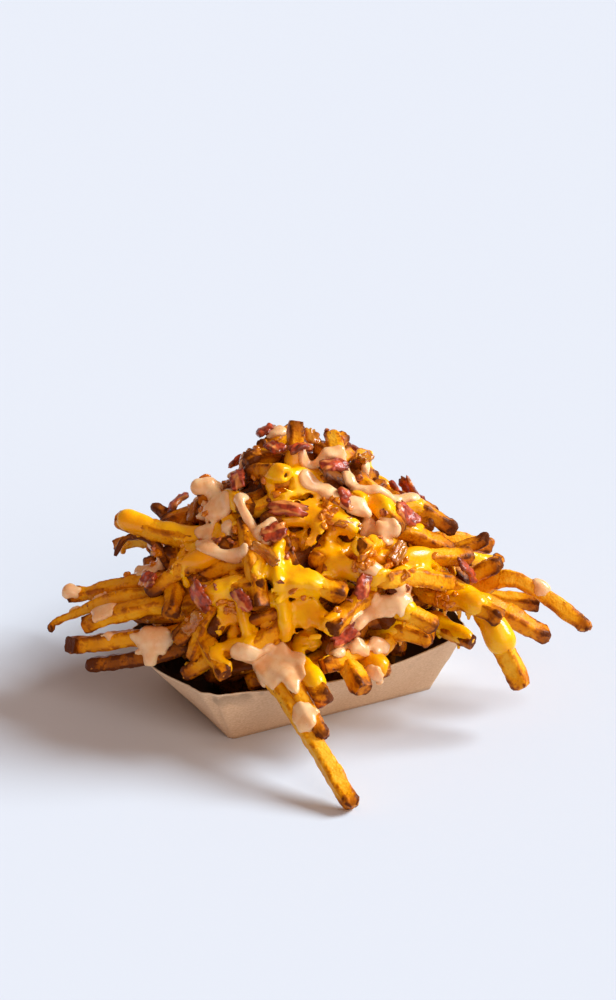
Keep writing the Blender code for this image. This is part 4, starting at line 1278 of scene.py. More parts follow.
@dataclass
class FryHeap:
    """All the fries: each is a rounded square bar that follows its path, rough and browned at its ends."""

    shape: FryShape = field(default_factory=FryShape)
    middle_depth: float = 7 * MM
    middle_lumps: float = 2.5 * MM
    middle_grain: float = 180.0
    # The middle's dark tone is painted shade for the deep gaps between fries.
    middle_painted_shade_tone: float = 0.85
    middle_cuts: int = 3

    def tree(self, material: Material) -> NodeTree:
        """The Geometry Nodes tree that turns paths into fries."""
        group, given, gives = start_tree("fries", **asdict(self.shape))
        own = given.outputs
        place = put(group, "GeometryNodeInputPosition").outputs[0]
        curve = put(group, "GeometryNodeMeshToCurve", {0: own["Geometry"]}).outputs[0]
        steps = {"Curve": curve, "Length": own["Step"]}
        curve = put(group, "GeometryNodeResampleCurve", steps, mode="LENGTH").outputs[0]
        shift = swung_vector(group, place, own["Crook Grain"], own["Crookedness"])
        curve = change(group, "SetPosition", curve, Offset=shift)
        to_end, radius = self.radius_of(group, own, place)
        far = put(group, "ShaderNodeMapRange", {0: to_end, 1: 0.0, 2: own["Browned"], 3: 0.0, 4: 1.0})
        curve = store(group, curve, "end", far.outputs[0])
        curve = put(group, "GeometryNodeSetCurveNormal", {"Curve": curve}, mode="Z_UP").outputs[0]
        roll = {"Curve": curve, "Tilt": named(group, "roll")}
        curve = put(group, "GeometryNodeSetCurveTilt", roll).outputs[0]
        profile = self.profile_of(group, own, place)
        bar = {"Curve": curve, "Profile Curve": profile, "Scale": radius, "Fill Caps": True}
        body = put(group, "GeometryNodeCurveToMesh", bar).outputs[0]
        normal = put(group, "GeometryNodeInputNormal").outputs[0]
        lump = swung(group, place, own["Lump Grain"], 2.0, own["Lumps"])
        blister = swung(group, place, own["Blister Grain"], 2.0, own["Blisters"])
        ragged = math_of(group, "SUBTRACT", 1.0, named(group, "end"))
        ragged = math_of(group, "MULTIPLY_ADD", ragged, own["Ragged"], 2.0)
        height = math_of(group, "MULTIPLY", math_of(group, "ADD", lump, blister), ragged)
        body = change(group, "SetPosition", body, Offset=scaled(group, normal, height))
        return end_tree(group, gives, body, material)

    @staticmethod
    def radius_of(
        group: NodeTree, own: bpy.types.bpy_prop_collection, place: NodeSocket
    ) -> tuple[NodeSocket, NodeSocket]:
        """How thick a fry is along its path: round at the ends, uneven, and narrower towards its tip.

        Args:
            group: The tree.
            own: The tree's inputs.
            place: Where each point lies.

        Returns:
            How far each point is from the nearest end, and half the fry's thickness there.
        """
        spot = put(group, "GeometryNodeSplineParameter").outputs["Length"]
        along = put(group, "GeometryNodeSplineParameter").outputs["Factor"]
        whole = put(group, "GeometryNodeSplineLength").outputs["Length"]
        to_end = math_of(group, "MINIMUM", spot, math_of(group, "SUBTRACT", whole, spot))
        share = put(group, "ShaderNodeClamp", {0: math_of(group, "DIVIDE", to_end, own["End Round"])})
        short = math_of(group, "SUBTRACT", 1.0, share.outputs[0])
        rounded = math_of(group, "SUBTRACT", 1.0, math_of(group, "MULTIPLY", short, short))
        ends = named(group, "ends")
        rounded = math_of(group, "MULTIPLY_ADD", rounded, math_of(group, "SUBTRACT", 1.0, ends), ends)
        sway = swung(group, place, own["Sway Grain"], 1.0, own["Evenness"])
        sway = math_of(group, "MULTIPLY_ADD", sway, 2.0, 1.0)
        before = math_of(group, "SUBTRACT", own["Even At"], along)
        sway = math_of(group, "ADD", sway, math_of(group, "MULTIPLY", before, own["Thinning"]))
        beyond = math_of(group, "MAXIMUM", math_of(group, "SUBTRACT", along, own["Taper From"]), 0.0)
        sway = math_of(group, "SUBTRACT", sway, math_of(group, "MULTIPLY", beyond, named(group, "taper")))
        half = math_of(group, "MULTIPLY", named(group, "half"), rounded)
        return to_end, math_of(group, "MULTIPLY", half, sway)

    @staticmethod
    def profile_of(group: NodeTree, own: bpy.types.bpy_prop_collection, place: NodeSocket) -> NodeSocket:
        """A fry's cross section: a square with round corners, whose points know how near an edge they are.

        Args:
            group: The tree.
            own: The tree's inputs.
            place: Where each point lies.

        Returns:
            The curve.
        """
        square = {"Width": 2.0, "Height": 2.0}
        profile = put(group, "GeometryNodeCurvePrimitiveQuadrilateral", square).outputs[0]
        corners = {"Curve": profile, "Count": own["Corner Points"], "Radius": own["Corner"]}
        profile = put(group, "GeometryNodeFilletCurve", corners, mode="POLY").outputs[0]
        sides = {"Curve": profile, "Count": own["Profile Points"]}
        profile = put(group, "GeometryNodeResampleCurve", sides, mode="COUNT").outputs[0]
        out = put(group, "ShaderNodeVectorMath", {0: place}, operation="LENGTH").outputs["Value"]
        near = {0: out, 1: own["Edge From"], 2: own["Edge To"], 3: 0.0, 4: 1.0}
        return store(group, profile, "edge", put(group, "ShaderNodeMapRange", near).outputs[0])

    def build(self, name: str, fries: list[Fry], tree: NodeTree, points: int) -> Object:
        """Makes some fries as one piece.

        Args:
            name: The piece's name.
            fries: The fries.
            tree: The tree that makes them.
            points: How many points each path gets.

        Returns:
            The piece.
        """
        verts: list[Vector] = []
        edges: list[tuple[int, int]] = []
        looks: dict[str, list[float]] = {key: [] for key in ("half", "roll", "tone", "ends", "taper")}
        for fry in fries:
            first = len(verts)
            verts += smooth_run(fry.points, points)
            edges += [(index, index + 1) for index in range(first, first + points - 1)]
            for key, values in looks.items():
                values += [getattr(fry, key)] * points
        mesh = bpy.data.meshes.new(name)
        mesh.from_pydata(verts, edges, [])
        for key, values in looks.items():
            write_attribute(mesh, key, values)
        piece = use_tree(link(mesh, name), tree)
        outward(piece.data)
        smooth_shaded(piece.data)
        return piece

    def middle(self, core: Mesh, material: Material) -> Object:
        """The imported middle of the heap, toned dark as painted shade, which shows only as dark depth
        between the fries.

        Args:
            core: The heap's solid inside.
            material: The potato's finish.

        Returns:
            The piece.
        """
        bm = bmesh.new()
        bm.from_mesh(core)
        bmesh.ops.subdivide_edges(bm, edges=bm.edges[:], cuts=self.middle_cuts, use_grid_fill=True)
        for vert in bm.verts:
            inwards = (HEART - vert.co).normalized()
            lump = noise.noise(vert.co * self.middle_grain) * self.middle_lumps
            vert.co += inwards * min((vert.co - HEART).length / 2, self.middle_depth + lump)
        mesh = bpy.data.meshes.new("packed_middle")
        bm.to_mesh(mesh)
        bm.free()
        for name, value in (("edge", 0.0), ("end", 1.0), ("tone", self.middle_painted_shade_tone)):
            write_attribute(mesh, name, [value] * len(mesh.vertices))
        mesh.materials.append(material)
        smooth_shaded(mesh)
        return link(mesh, "packed_middle")

    def dress(self, piece: Object) -> None:
        """Puts a piece of fries in the frame."""
        put_in_frame(piece, ["fries"], "fried_potato")


@dataclass
class Pour:
    """Points of sauce, each with a radius, which run together into one smooth body."""

    places: list[Vector] = field(default_factory=list)
    sizes: list[float] = field(default_factory=list)
    least_faces: int = 60

    def add(self, place: Vector, size: float) -> None:
        """Adds a drop of a radius at a place."""
        self.places.append(place)
        self.sizes.append(size)

    def build(self, name: str, material: Material, grain: float, rounds: int) -> Object:
        """Runs the drops together.

        Args:
            name: The piece's name.
            material: Its finish.
            grain: The size of the cells that it is made of.
            rounds: How many times its surface is smoothed.

        Returns:
            The piece.
        """
        mesh = bpy.data.meshes.new(name)
        mesh.from_pydata(self.places, [], [])
        write_attribute(mesh, "size", self.sizes)
        piece = use_tree(link(mesh, name), self.tree(name, material), Cell=grain, Rounds=rounds)
        outward(piece.data, self.least_faces)
        smooth_shaded(piece.data)
        return piece

    @staticmethod
    def tree(name: str, material: Material) -> NodeTree:
        """The Geometry Nodes tree that runs drops together."""
        group, given, gives = start_tree(name, cell=0.8 * MM, rounds=4, threshold=0.3)
        own = given.outputs
        size = named(group, "size")
        drops = put(group, "GeometryNodeMeshToPoints", {"Mesh": own["Geometry"], "Radius": size}).outputs[0]
        cells = {"Voxel Size": own["Cell"]}
        filled = {"Points": drops, "Radius": size, **cells}
        body = put(group, "GeometryNodePointsToVolume", filled, resolution_mode="VOXEL_SIZE").outputs[0]
        skin = {"Volume": body, "Threshold": own["Threshold"], **cells}
        body = put(group, "GeometryNodeVolumeToMesh", skin, resolution_mode="VOXEL_SIZE").outputs[0]
        place = put(group, "GeometryNodeInputPosition").outputs[0]
        rounds = {"Iterations": own["Rounds"]}
        even = put(group, "GeometryNodeBlurAttribute", rounds, data_type="FLOAT_VECTOR")
        blurred, result = (
            next(socket for socket in ends if socket.type == "VECTOR") for ends in (even.inputs, even.outputs)
        )
        group.links.new(place, blurred)
        body = change(group, "SetPosition", body, Position=result)
        return end_tree(group, gives, body, material)


@dataclass
class CheeseSauce:
    """The cheese sauce: it coats the fries where it was poured, bridges small gaps and drips.

    Its drops lie on the surface of all the fries, heap, where runs along the surface of the core say.
    """

    core: BVHTree
    heap: BVHTree
    pour: Pour = field(default_factory=Pour)
    coat: float = 1.35 * MM
    reach: float = 15 * MM
    ceiling: float = 114 * MM
    exposed: float = 3.5 * MM
    bridge: float = 1.8 * MM
    pool: float = 4.5 * MM
    edge_wander: float = 0.8
    edge_grain: float = 105
    narrowing: float = 0.78
    drop_every: int = 19
    cell: float = 1.0 * MM
    rounds: int = 3
    coated_fries: tuple[tuple[str, float, float, float], ...] = (
        ("prop", 0.4, 0.66, 0.4), ("left_high", 0.25, 0.95, 0.8),
        ("right_coated", 0.3, 0.82, 1.5), ("front_coated", 0.35, 0.85, 0.9),
        ("front_middle", 0.3, 0.9, 0.5), ("left_sauced", 0.3, 0.7, 0.5),
        ("right_middle", 0.35, 0.75, 0.9), ("right_upper", 0.3, 0.7, 0.7),
        ("right_lower", 0.3, 0.7, 0.7), ("right_front", 0.3, 0.75, 0.8),
        ("right_rough", 0.25, 0.8, 0.7), ("right_long", 0.2, 0.5, 0.7),
        ("right_low", 0.3, 0.7, 0.6), ("right_rim", 0.45, 0.98, 0.9),
        ("right_pointed", 0.25, 0.5, 0.5), ("back_second", 0.3, 0.75, 0.7),
        ("back_corner", 0.35, 0.8, 0.7),
    )
    drips: tuple[tuple[float, float, float, float], ...] = (
        (-130, 50, 42, 3.9), (-117, 4, 9, 2.0), (-142, 8, 9, 1.8), (-163, 2, 9, 1.9),
        (-32, 2, 9, 1.8), (-50, 14, 8, 1.6), (-172, 30, 10, 1.8), (60, 4, 10, 2.0),
        (14, 10, 10, 1.8), (121, 8, 9, 1.8),
    )
    poured_from: Spot = (0, 0.92, 0.39)
    ropes: tuple[tuple[tuple[Spot, ...], float], ...] = (
        (((-9.5, 40, 84.4), (-9, 46, 76), (-7.3, 50, 67.7), (-6, 54, 58), (-4.9, 55, 49)), 3.0),
        (((-25, 48, 66), (-23, 52, 57), (-21, 56, 50)), 2.4),
    )
    rope_step: float = 0.8 * MM
    rope_rounds: int = 14
    rope_swell: Span = (0.3, 0.12)
    rope_ends: Span = (3, 7)
    rope_lift: float = 0.6
    ray_start: float = 60
    spine_points: int = 24
    far_outside: float = -9.0
    soft_edge: float = 2 * MM
    fine_wander: Span = (0.5, 2.7)
    thin_coat: float = 0.55
    coat_growth: float = 2.2
    sheet_detail: int = 7
    sheet_rounds: int = 9
    sheet_edge: float = 0.12
    sheet_coat: Span = (0.6, 0.4)
    pooling: Span = (2, 0.8)
    drip_step: float = 0.8
    drip_size: Span = (0.75, 0.5)
    drip_swell: float = 0.2
    drip_hang: float = 0.3
    drip_back: float = -9 * MM
    fry_steps: int = 100
    fry_lump: Span = (0.45, 110)
    fry_end: Span = (6, 0.3)
    fry_lift: float = 1.1
    drop_size: Span = (1.9, 0.12)
    drop_step: float = 0.8
    drop_lengths: Span = (3, 4)

    def rope(self, spots: tuple[Spot, ...], half: float) -> None:
        """Adds a thick run of sauce that lies over what the eater sees in front.

        Args:
            spots: Points on its line.
            half: Half its width in mm.
        """
        view = from_show(self.poured_from).normalized()
        rough = [from_show(spot) for spot in spots]
        line = smooth_run(rough, round(length_of(rough) / self.rope_step))
        hits = [seen(self.heap, place, view, self.ray_start)[0] or place for place in line]
        rises = np.array([(hit - place).dot(view) for hit, place in zip(hits, line)])
        taut = pulled_taut(rises, self.rope_rounds)
        swelling, grain = self.rope_swell
        least, full = self.rope_ends
        for index, (place, rise) in enumerate(zip(line, taut)):
            swell = 1 + swelling * noise.noise(Vector((index * grain, half, 0)))
            ends = min(1.0, (min(index, 2 * (len(line) - 1 - index)) + least) / full)
            self.pour.add(place + view * (rise + half * self.rope_lift * MM), half * swell * ends * MM)

    def coverage(self, points: np.ndarray) -> np.ndarray:
        """How deep each point lies in the sauce's runs: 1 in the middle, 0 at the edge, less outside.

        Args:
            points: The points, as rows.

        Returns:
            One number for each point.
        """
        feet = np.empty_like(points)
        wander = np.empty(len(points))
        grain, (fine, finer) = self.edge_grain, self.fine_wander
        for index, point in enumerate(points):
            towards = (Vector(point) - HEART).normalized()
            foot = surface(self.core, towards)
            feet[index] = foot
            wander[index] = noise.noise(foot * grain) + fine * noise.noise(foot * grain * finer)
        depth = np.full(len(points), self.far_outside)
        for run, widths in CHEESE_RUNS:
            spine = smooth_run([surface(self.core, heading(*place)) for place in run], self.spine_points)
            halves = smooth_run([Vector((width, 0)) for width in widths], self.spine_points)
            for place, half in zip(spine, halves):
                away = np.linalg.norm(feet - np.array(place), axis=1)
                depth = np.maximum(depth, 1 - away / (half.x * self.narrowing * MM + self.soft_edge))
        return depth + self.edge_wander * wander

    def coat_points(self, meshes: list[Mesh]) -> None:
        """Adds a coat over the exposed fries where the sauce was poured."""
        for mesh in meshes:
            corners = corners_of(mesh)
            depths = self.coverage(corners)
            for corner, depth in zip(corners, depths):
                if depth <= 0 or corner[2] > self.ceiling:
                    continue
                place = Vector(corner)
                towards = (place - HEART).normalized()
                top = surface(self.heap, towards)
                if (place - surface(self.core, towards)).length > self.reach:
                    continue
                if (top - HEART).length - (place - HEART).length > self.exposed:
                    continue
                more = self.thin_coat * min(1.0, depth * self.coat_growth)
                self.pour.add(place, self.coat * (self.thin_coat + more))

    def sheet_points(self) -> None:
        """Adds the sheets that hang between fries that lie near each other."""
        bm = bmesh.new()
        bmesh.ops.create_icosphere(bm, subdivisions=self.sheet_detail, radius=1)
        directions = [vert.co.normalized() for vert in bm.verts]
        pairs = np.array([[edge.verts[0].index, edge.verts[1].index] for edge in bm.edges])
        bm.free()
        hits = [surface(self.heap, towards) for towards in directions]
        level = np.array([(hit - HEART).length for hit in hits])
        floor = level.copy()
        counts = np.bincount(pairs.ravel(), minlength=len(level))
        for _ in range(self.sheet_rounds):
            total = np.bincount(pairs[:, 0], level[pairs[:, 1]], len(level))
            total += np.bincount(pairs[:, 1], level[pairs[:, 0]], len(level))
            level = np.maximum(floor, total / counts)
        tops = np.array([HEART + towards * high for towards, high in zip(directions, level)])
        depths = self.coverage(tops)
        (steep, start), (least, more) = self.pooling, self.sheet_coat
        for top, depth, rise in zip(tops, depths, level - floor):
            off = (Vector(top) - surface(self.core, (Vector(top) - HEART).normalized())).length
            span = between(self.bridge, self.pool, clamped(depth * steep - start))
            if depth > self.sheet_edge and off < self.reach and rise < span:
                self.pour.add(Vector(top), self.coat * (least + more * min(1.0, depth)))

    def drip(self, place: Place, length: float, half: float) -> None:
        """Adds a run of sauce that hangs down from a place and ends in a drop."""
        start = surface(self.heap, heading(*place))
        steps = max(4, round(length / self.drip_step))
        towards = (start - HEART).normalized()
        out = Vector((towards.x, towards.y, 0)).normalized()
        pattern = (start - HEART).length * 900
        thin, swollen = self.drip_size
        for step in range(steps + 1):
            share = step / steps
            below = start - UP * length * MM * share
            hit = seen(self.heap, below, out, self.ray_start)[0]
            near = hit if hit and (hit - below).dot(out) > self.drip_back else below
            swell = 1 + self.drip_swell * noise.noise(Vector((pattern, step * 0.3, 0)))
            self.pour.add(near.lerp(below, self.drip_hang), half * MM * (thin + swollen * share**3) * swell)

    def coat_fry(self, fry: Fry, name: str, start: float, end: float, thick: float) -> None:
        """Adds a coat along one fry, and drops that hang below it.

        Args:
            fry: The fry.
            name: Its name, whose length sets the drops' pattern.
            start: Where along it the coat starts, from 0 to 1.
            end: Where the coat ends.
            thick: How thick the coat is in mm.
        """
        steps = self.fry_steps
        line = smooth_run(fry.points, steps + 1)
        lumpy, grain = self.fry_lump
        fading, least = self.fry_end
        widest, narrowing = self.drop_size
        shortest, lengths = self.drop_lengths
        for index in range(round(start * steps), round(end * steps)):
            lump = 1 + lumpy * noise.noise(line[index] * grain)
            ended = min(1.0, (end * steps - index) / fading + least)
            self.pour.add(line[index] + UP * self.fry_lift * MM, (fry.half + thick * MM) * lump * ended)
            if index % self.drop_every == len(name) % self.drop_every:
                below = line[index] - UP * fry.half
                for step in range(shortest + len(name) % lengths):
                    self.pour.add(below - UP * step * self.drop_step * MM, (widest - narrowing * step) * MM)

    def build(self, layout: dict[str, Fry], meshes: list[Mesh], material: Material) -> Object:
        """Makes the cheese sauce.

        Args:
            layout: The fries laid one by one, by name.
            meshes: The fries' meshes.
            material: The sauce's finish.

        Returns:
            The piece.
        """
        self.coat_points(meshes)
        self.sheet_points()
        for bearing, rise, length, half in self.drips:
            self.drip((bearing, rise), length, half)
        for spots, half in self.ropes:
            self.rope(spots, half)
        for name, start, end, thick in self.coated_fries:
            self.coat_fry(layout[name], name, start, end, thick)
        return self.pour.build("cheese_coat", material, self.cell, self.rounds)

    def dress(self, piece: Object) -> None:
        """Puts the cheese sauce in the frame."""
        nodes = [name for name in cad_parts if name.startswith("cheese_sauce")]
        put_in_frame(piece, nodes, "cheese_sauce")


@dataclass
class PinkSauce:
    """The pink sauce: drizzled strands over the heap, splats and blobs on the fries.

    Its drops lie on the surface of the fries and the cheese sauce, heap, and near that of the core.
    """

    core: BVHTree
    heap: BVHTree
    pour: Pour = field(default_factory=Pour)
    cell: float = 0.78 * MM
    rounds: int = 5
    step: float = 0.8 * MM
    slimness: float = 1.05
    reach: float = 13 * MM
    thrown_from: Spot = (0.0, 0.85, 0.6)
    thrown: tuple[tuple[Spot, float, int], ...] = (
        ((-37, 14, 88), 5.6, 5), ((-29, 22, 84), 3.6, 4), ((-62, 36, 37), 8.6, 5),
        ((-84, 8, 42), 5.2, 3), ((-7, 66, 41), 10.4, 5), ((-2, 40, 53), 5.2, 5),
        ((15, 52, 43), 4.4, 3), ((24, 52, 44.5), 4.6, 3), ((33, 48, 43), 4.2, 3),
        ((31, 56, 32), 4.4, 3),
    )
    dollops: tuple[tuple[Spot, float], ...] = (
        ((-42.5, 7, 97.5), 4.3), ((-38.5, 7, 98.0), 4.5), ((-35.5, 10, 96.0), 3.4),
        ((-31.8, 20, 91.9), 3.6), ((-44.0, 9, 90.5), 2.6),
    )
    splats: tuple[tuple[float, float, float, int], ...] = (
        (-133, 1, 9.5, 7), (-80, 20, 5.0, 6), (-88, -9, 5.0, 6), (-66, 44, 3.8, 5),
        (150, 22, 6.0, 6), (72, 18, 6.0, 6), (38, 44, 5.2, 5), (96, 58, 5.6, 6),
        (-20, 62, 3.4, 4),
    )
    taut_rounds: int = 12
    fewest_steps: int = 6
    swelling: float = 0.6
    swell_grain: Span = (0.13, 3.1)
    least_end: float = 0.15
    end_steps: float = 1.5
    drop_gap: float = 1.1 * MM
    drop_sizes: Span = (0.7 * MM, 1.25 * MM)
    drop_edge: float = 0.8 * MM
    side_fall: Span = (2.2, 0.4)
    lift: float = 0.15 * MM
    splat_ring: float = 0.8
    splat_reach: float = 1.45
    splat_gap: float = 0.9
    splat_shape: tuple[float, float, float] = (0.74, 0.34, 0.6)
    splat_sizes: Span = (0.6, 1.7)
    splat_start: float = 30
    splat_fall: float = 2.0
    dollop_start: float = 40
    dollop_lift: float = 0.35
    blob_lift: float = 2
    blob_lean: Span = (0.8, 0.35)
    blob_scale: float = 0.95
    blob_fingers: int = 4
    fry_steps: int = 100

    def strand(self, run: tuple[Place, ...], half: float, number: int) -> None:
        """Adds one strand, draped along its run, which passes under the fries that reach far out.

        Args:
            run: The Places along it.
            half: Half its width in mm.
            number: Which strand it is, for its own pattern.
        """
        rough = [surface(self.heap, heading(*place)) for place in run]
        count = max(self.fewest_steps, round(length_of(rough) / self.step))
        line = smooth_run([heading(*place) for place in run], count)
        directions = [towards.normalized() for towards in line]
        most = np.array([(surface(self.core, towards) - HEART).length for towards in directions]) + self.reach
        levels = np.minimum([(surface(self.heap, towards) - HEART).length for towards in directions], most)
        taut = pulled_taut(levels, self.taut_rounds)
        middles = [HEART + towards * level for towards, level in zip(directions, taut)]
        along, apart = self.swell_grain
        edge_size, more = self.drop_sizes
        fall, under = self.side_fall
        for index, middle in enumerate(middles):
            tangent = middles[min(index + 1, count - 1)] - middles[max(index - 1, 0)]
            side = tangent.cross(directions[index]).normalized()
            to_end = min(index, count - 1 - index) + self.end_steps
            ends = min(1.0, to_end * self.step / (half * MM))
            swell = 1 + self.swelling * noise.noise(Vector((index * along, number * apart, 0)))
            wide = half * MM * swell * math.sqrt(max(self.least_end, 1 - (1 - ends) ** 2))
            for offset in np.linspace(-1, 1, max(3, 2 * round(wide / self.drop_gap) + 1)):
                size = edge_size + more * math.sqrt(max(0, 1 - offset * offset))
                reach = (wide - self.drop_edge) * offset
                towards = (middle + side * reach - HEART).normalized()
                hit = min((surface(self.heap, towards) - HEART).length, most[index])
                level = max(hit, taut[index] - (fall * abs(offset) + under) * MM)
                self.pour.add(HEART + towards * (level + self.lift), size)

    def splat(self, centre: Vector, towards: Vector, radius: float, fingers: int) -> None:
        """Adds one splat with fingers, thrown on along a direction.

        Args:
            centre: Its middle.
            towards: Where it was thrown from.
            radius: Its radius in mm.
            fingers: How many fingers it has.
        """
        side = towards.orthogonal().normalized()
        over = towards.cross(side).normalized()
        turn = noise.noise(centre * 300) * math.pi
        body, finger, unevenness = self.splat_shape
        least, more = self.splat_sizes
        for ring in np.arange(0, radius * self.splat_reach, self.splat_ring):
            around = max(1, round(math.tau * ring / self.splat_gap))
            for index in range(around):
                angle = math.tau * index / around
                wave = 0.5 + 0.5 * math.cos(fingers * angle + turn + 2.2 * math.sin(angle + turn))
                uneven = noise.noise(Vector((math.cos(angle), math.sin(angle), turn)) * 1.7)
                limit = radius * (body + finger * wave**2 + unevenness * uneven)
                if ring > limit:
                    continue
                place = centre + (side * math.cos(angle) + over * math.sin(angle)) * ring * MM
                hit = seen(self.heap, place, towards, self.splat_start)[0]
                if hit is None or (hit - centre).length > radius * self.splat_fall * MM:
                    continue
                share = ring / limit
                self.pour.add(hit, (least + more * math.sqrt(max(0.0, 1 - share * share))) * MM)

    def build(self, layout: dict[str, Fry], material: Material) -> Object:
        """Makes the pink sauce.

        Args:
            layout: The fries laid one by one, by name.
            material: The sauce's finish.

        Returns:
            The piece.
        """
        for number, (run, half) in enumerate(PINK_STRANDS):
            self.strand(run, half * self.slimness, number)
        for bearing, rise, radius, fingers in self.splats:
            towards = heading(bearing, rise)
            self.splat(surface(self.heap, towards), towards, radius, fingers)
        view = from_show(self.thrown_from).normalized()
        for spot, radius, fingers in self.thrown:
            self.splat(from_show(spot), view, radius, fingers)
        for spot, radius in self.dollops:
            hit = seen(self.heap, from_show(spot), view, self.dollop_start)[0]
            if hit is not None:
                self.pour.add(hit + view * radius * self.dollop_lift * MM, radius * MM)
        up, out = self.blob_lean
        for name, share, radius in FRY_BLOBS:
            place = smooth_run(layout[name].points, self.fry_steps + 1)[round(share * self.fry_steps)]
            towards = (UP * up + (place - HEART).normalized() * out).normalized()
            place += UP * self.blob_lift * MM
            self.splat(place, towards, radius * self.blob_scale, self.blob_fingers)
        return self.pour.build("pink_drizzle", material, self.cell, self.rounds)

    def dress(self, piece: Object) -> None:
        """Puts the pink sauce in the frame."""
        put_in_frame(piece, ["fries"])


class Chip(Enum):
    """The kinds of chopped topping, by the start of their nodes' names."""

    BACON = "bacon"
    ONION = "onion"


@dataclass
class ChipShape:
    """How a chopped piece is made in the place of its solid.

    It ripples in waves along it, its outline is rough and narrows to the ends, and it may have ribs along it.
    Its size gives shares of the solid's length and width, and half its own thickness.
    """

    ripple: float
    waves: float
    roughness: float
    ribs: float
    size: tuple[float, float, float]
    steps: tuple[int, int] = (26, 14)
    end_narrowing: float = 0.16
    side_shortening: float = 0.12
    tilt: Span = (0.6, 0.4)
    warp: float = 0.8
    bend_rest: float = 0.4
    rib_waves: float = 3.2
    lumps: float = 0.3
    rim_round: int = 5
    rim_browning: int = 4
    end_share: float = 0.8
    patterns: tuple[float, float, float] = (7.3, 5.1, 2.7)
    grains: tuple[float, float, float] = (2.1, 1.7, 2.6)


@dataclass
class Chips:
    """All the pieces of one chopped topping, each shaped in the place of its own solid."""

    kind: Chip
    shape: ChipShape

    def frame_of(self, node: Object) -> tuple[Vector, list[Vector], list[float], float]:
        """Where a solid chip lies.

        Args:
            node: The solid chip.

        Returns:
            Its middle, its axes along, across and through, half its size on each, and how far its ends bend.
        """
        corners = np.unique(np.round(corners_of(node.data).astype(float), 6), axis=0)
        middle = corners.mean(axis=0)
        axes = np.linalg.eigh(np.cov((corners - middle).T))[1][:, ::-1].T
        axes[2] = np.cross(axes[0], axes[1])
        out = middle - np.array(HEART)
        if axes[2] @ out < 0:
            axes[1:] *= -1
        spread = (corners - middle) @ axes.T
        low, high = spread.min(axis=0), spread.max(axis=0)
        centre = middle + ((low + high) / 2 * (1, 1, 0)) @ axes
        halves = (high - low) / 2
        far = np.abs(spread[:, 0]) > halves[0] * self.shape.end_share
        bend = spread[far, 2].mean() - spread[~far, 2].mean()
        halves[2] = self.shape.size[2]
        return Vector(centre), [Vector(axis) for axis in axes], list(halves), float(bend)

    def add_chip(self, bm: bmesh.types.BMesh, node: Object, number: int) -> None:
        """Adds one chip in the place of its solid."""
        centre, (along, across, through), halves, bend = self.frame_of(node)
        shape = self.shape
        count_u, count_v = shape.steps
        spacing, along_shift, across_shift = (number * apart for apart in shape.patterns)
        jag_grain, warp_grain, lump_grain = shape.grains
        layers = {name: bm.verts.layers.float[name] for name in ("along", "across", "rim")}
        made: dict[tuple[int, int, int], bmesh.types.BMVert] = {}
        for i in range(count_u + 1):
            for j in range(count_v + 1):
                u, v = i / count_u * 2 - 1, j / count_v * 2 - 1
                rim = max(abs(u), abs(v))
                border = i in (0, count_u) or j in (0, count_v)
                squeeze = 1 - shape.end_narrowing * u**4
                key = Vector((u * 1.3, v * 1.1, spacing))
                jag = 1 + shape.roughness * noise.noise(key * jag_grain) * rim
                x = u * halves[0] * shape.size[0] * (1 - shape.side_shortening * v * v) * jag
                y = v * halves[1] * shape.size[1] * squeeze * jag
                sway = shape.tilt[0] + shape.tilt[1] * v
                wave = shape.ripple * math.sin(math.pi * shape.waves * u + number) * sway
                wave += shape.ripple * shape.warp * noise.noise(key * warp_grain)
                wave += bend * (u * u - shape.bend_rest)
                ribs = shape.ribs * math.cos(v * math.pi * shape.rib_waves)
                thick = halves[2] * math.sqrt(max(0.0, 1 - rim**shape.rim_round))
                thick = thick * (1 + shape.lumps * noise.noise(key * lump_grain)) + ribs * (1 - rim)
                for side in ((0,) if border else (1, -1)):
                    place = centre + along * x + across * y + through * (wave + side * thick)
                    vert = bm.verts.new(place)
                    vert[layers["along"]], vert[layers["across"]] = u + along_shift, v + across_shift
                    vert[layers["rim"]] = rim**shape.rim_browning
                    made[i, j, side] = vert

        def at(i: int, j: int, side: int) -> bmesh.types.BMVert:
            """The point of a cell's corner on one side, or on the border that both sides share."""
            return made[i, j, 0] if (i, j, 0) in made else made[i, j, side]

        for i in range(count_u):
            for j in range(count_v):
                for side in (1, -1):
                    loop = [at(i, j, side), at(i + 1, j, side), at(i + 1, j + 1, side), at(i, j + 1, side)]
                    bm.faces.new(loop if side > 0 else loop[::-1])

    def build(self, name: str) -> Object:
        """Makes all the pieces of the topping as one mesh."""
        bm = bmesh.new()
        for layer in ("along", "across", "rim"):
            bm.verts.layers.float.new(layer)
        for number, node in enumerate(self.nodes()):
            self.add_chip(bm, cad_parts[node], number)
        bmesh.ops.recalc_face_normals(bm, faces=bm.faces)
        mesh = bpy.data.meshes.new(name)
        bm.to_mesh(mesh)
        bm.free()
        smooth_shaded(mesh)
        return link(mesh, name)

    def nodes(self) -> list[str]:
        """The names of the topping's solids."""
        return sorted(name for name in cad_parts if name.startswith(self.kind.value))

    def dress(self, piece: Object, material: Material, slot: str) -> None:
        """Gives the topping its finish and puts it in the frame."""
        piece.data.materials.append(material)
        put_in_frame(piece, self.nodes(), slot)


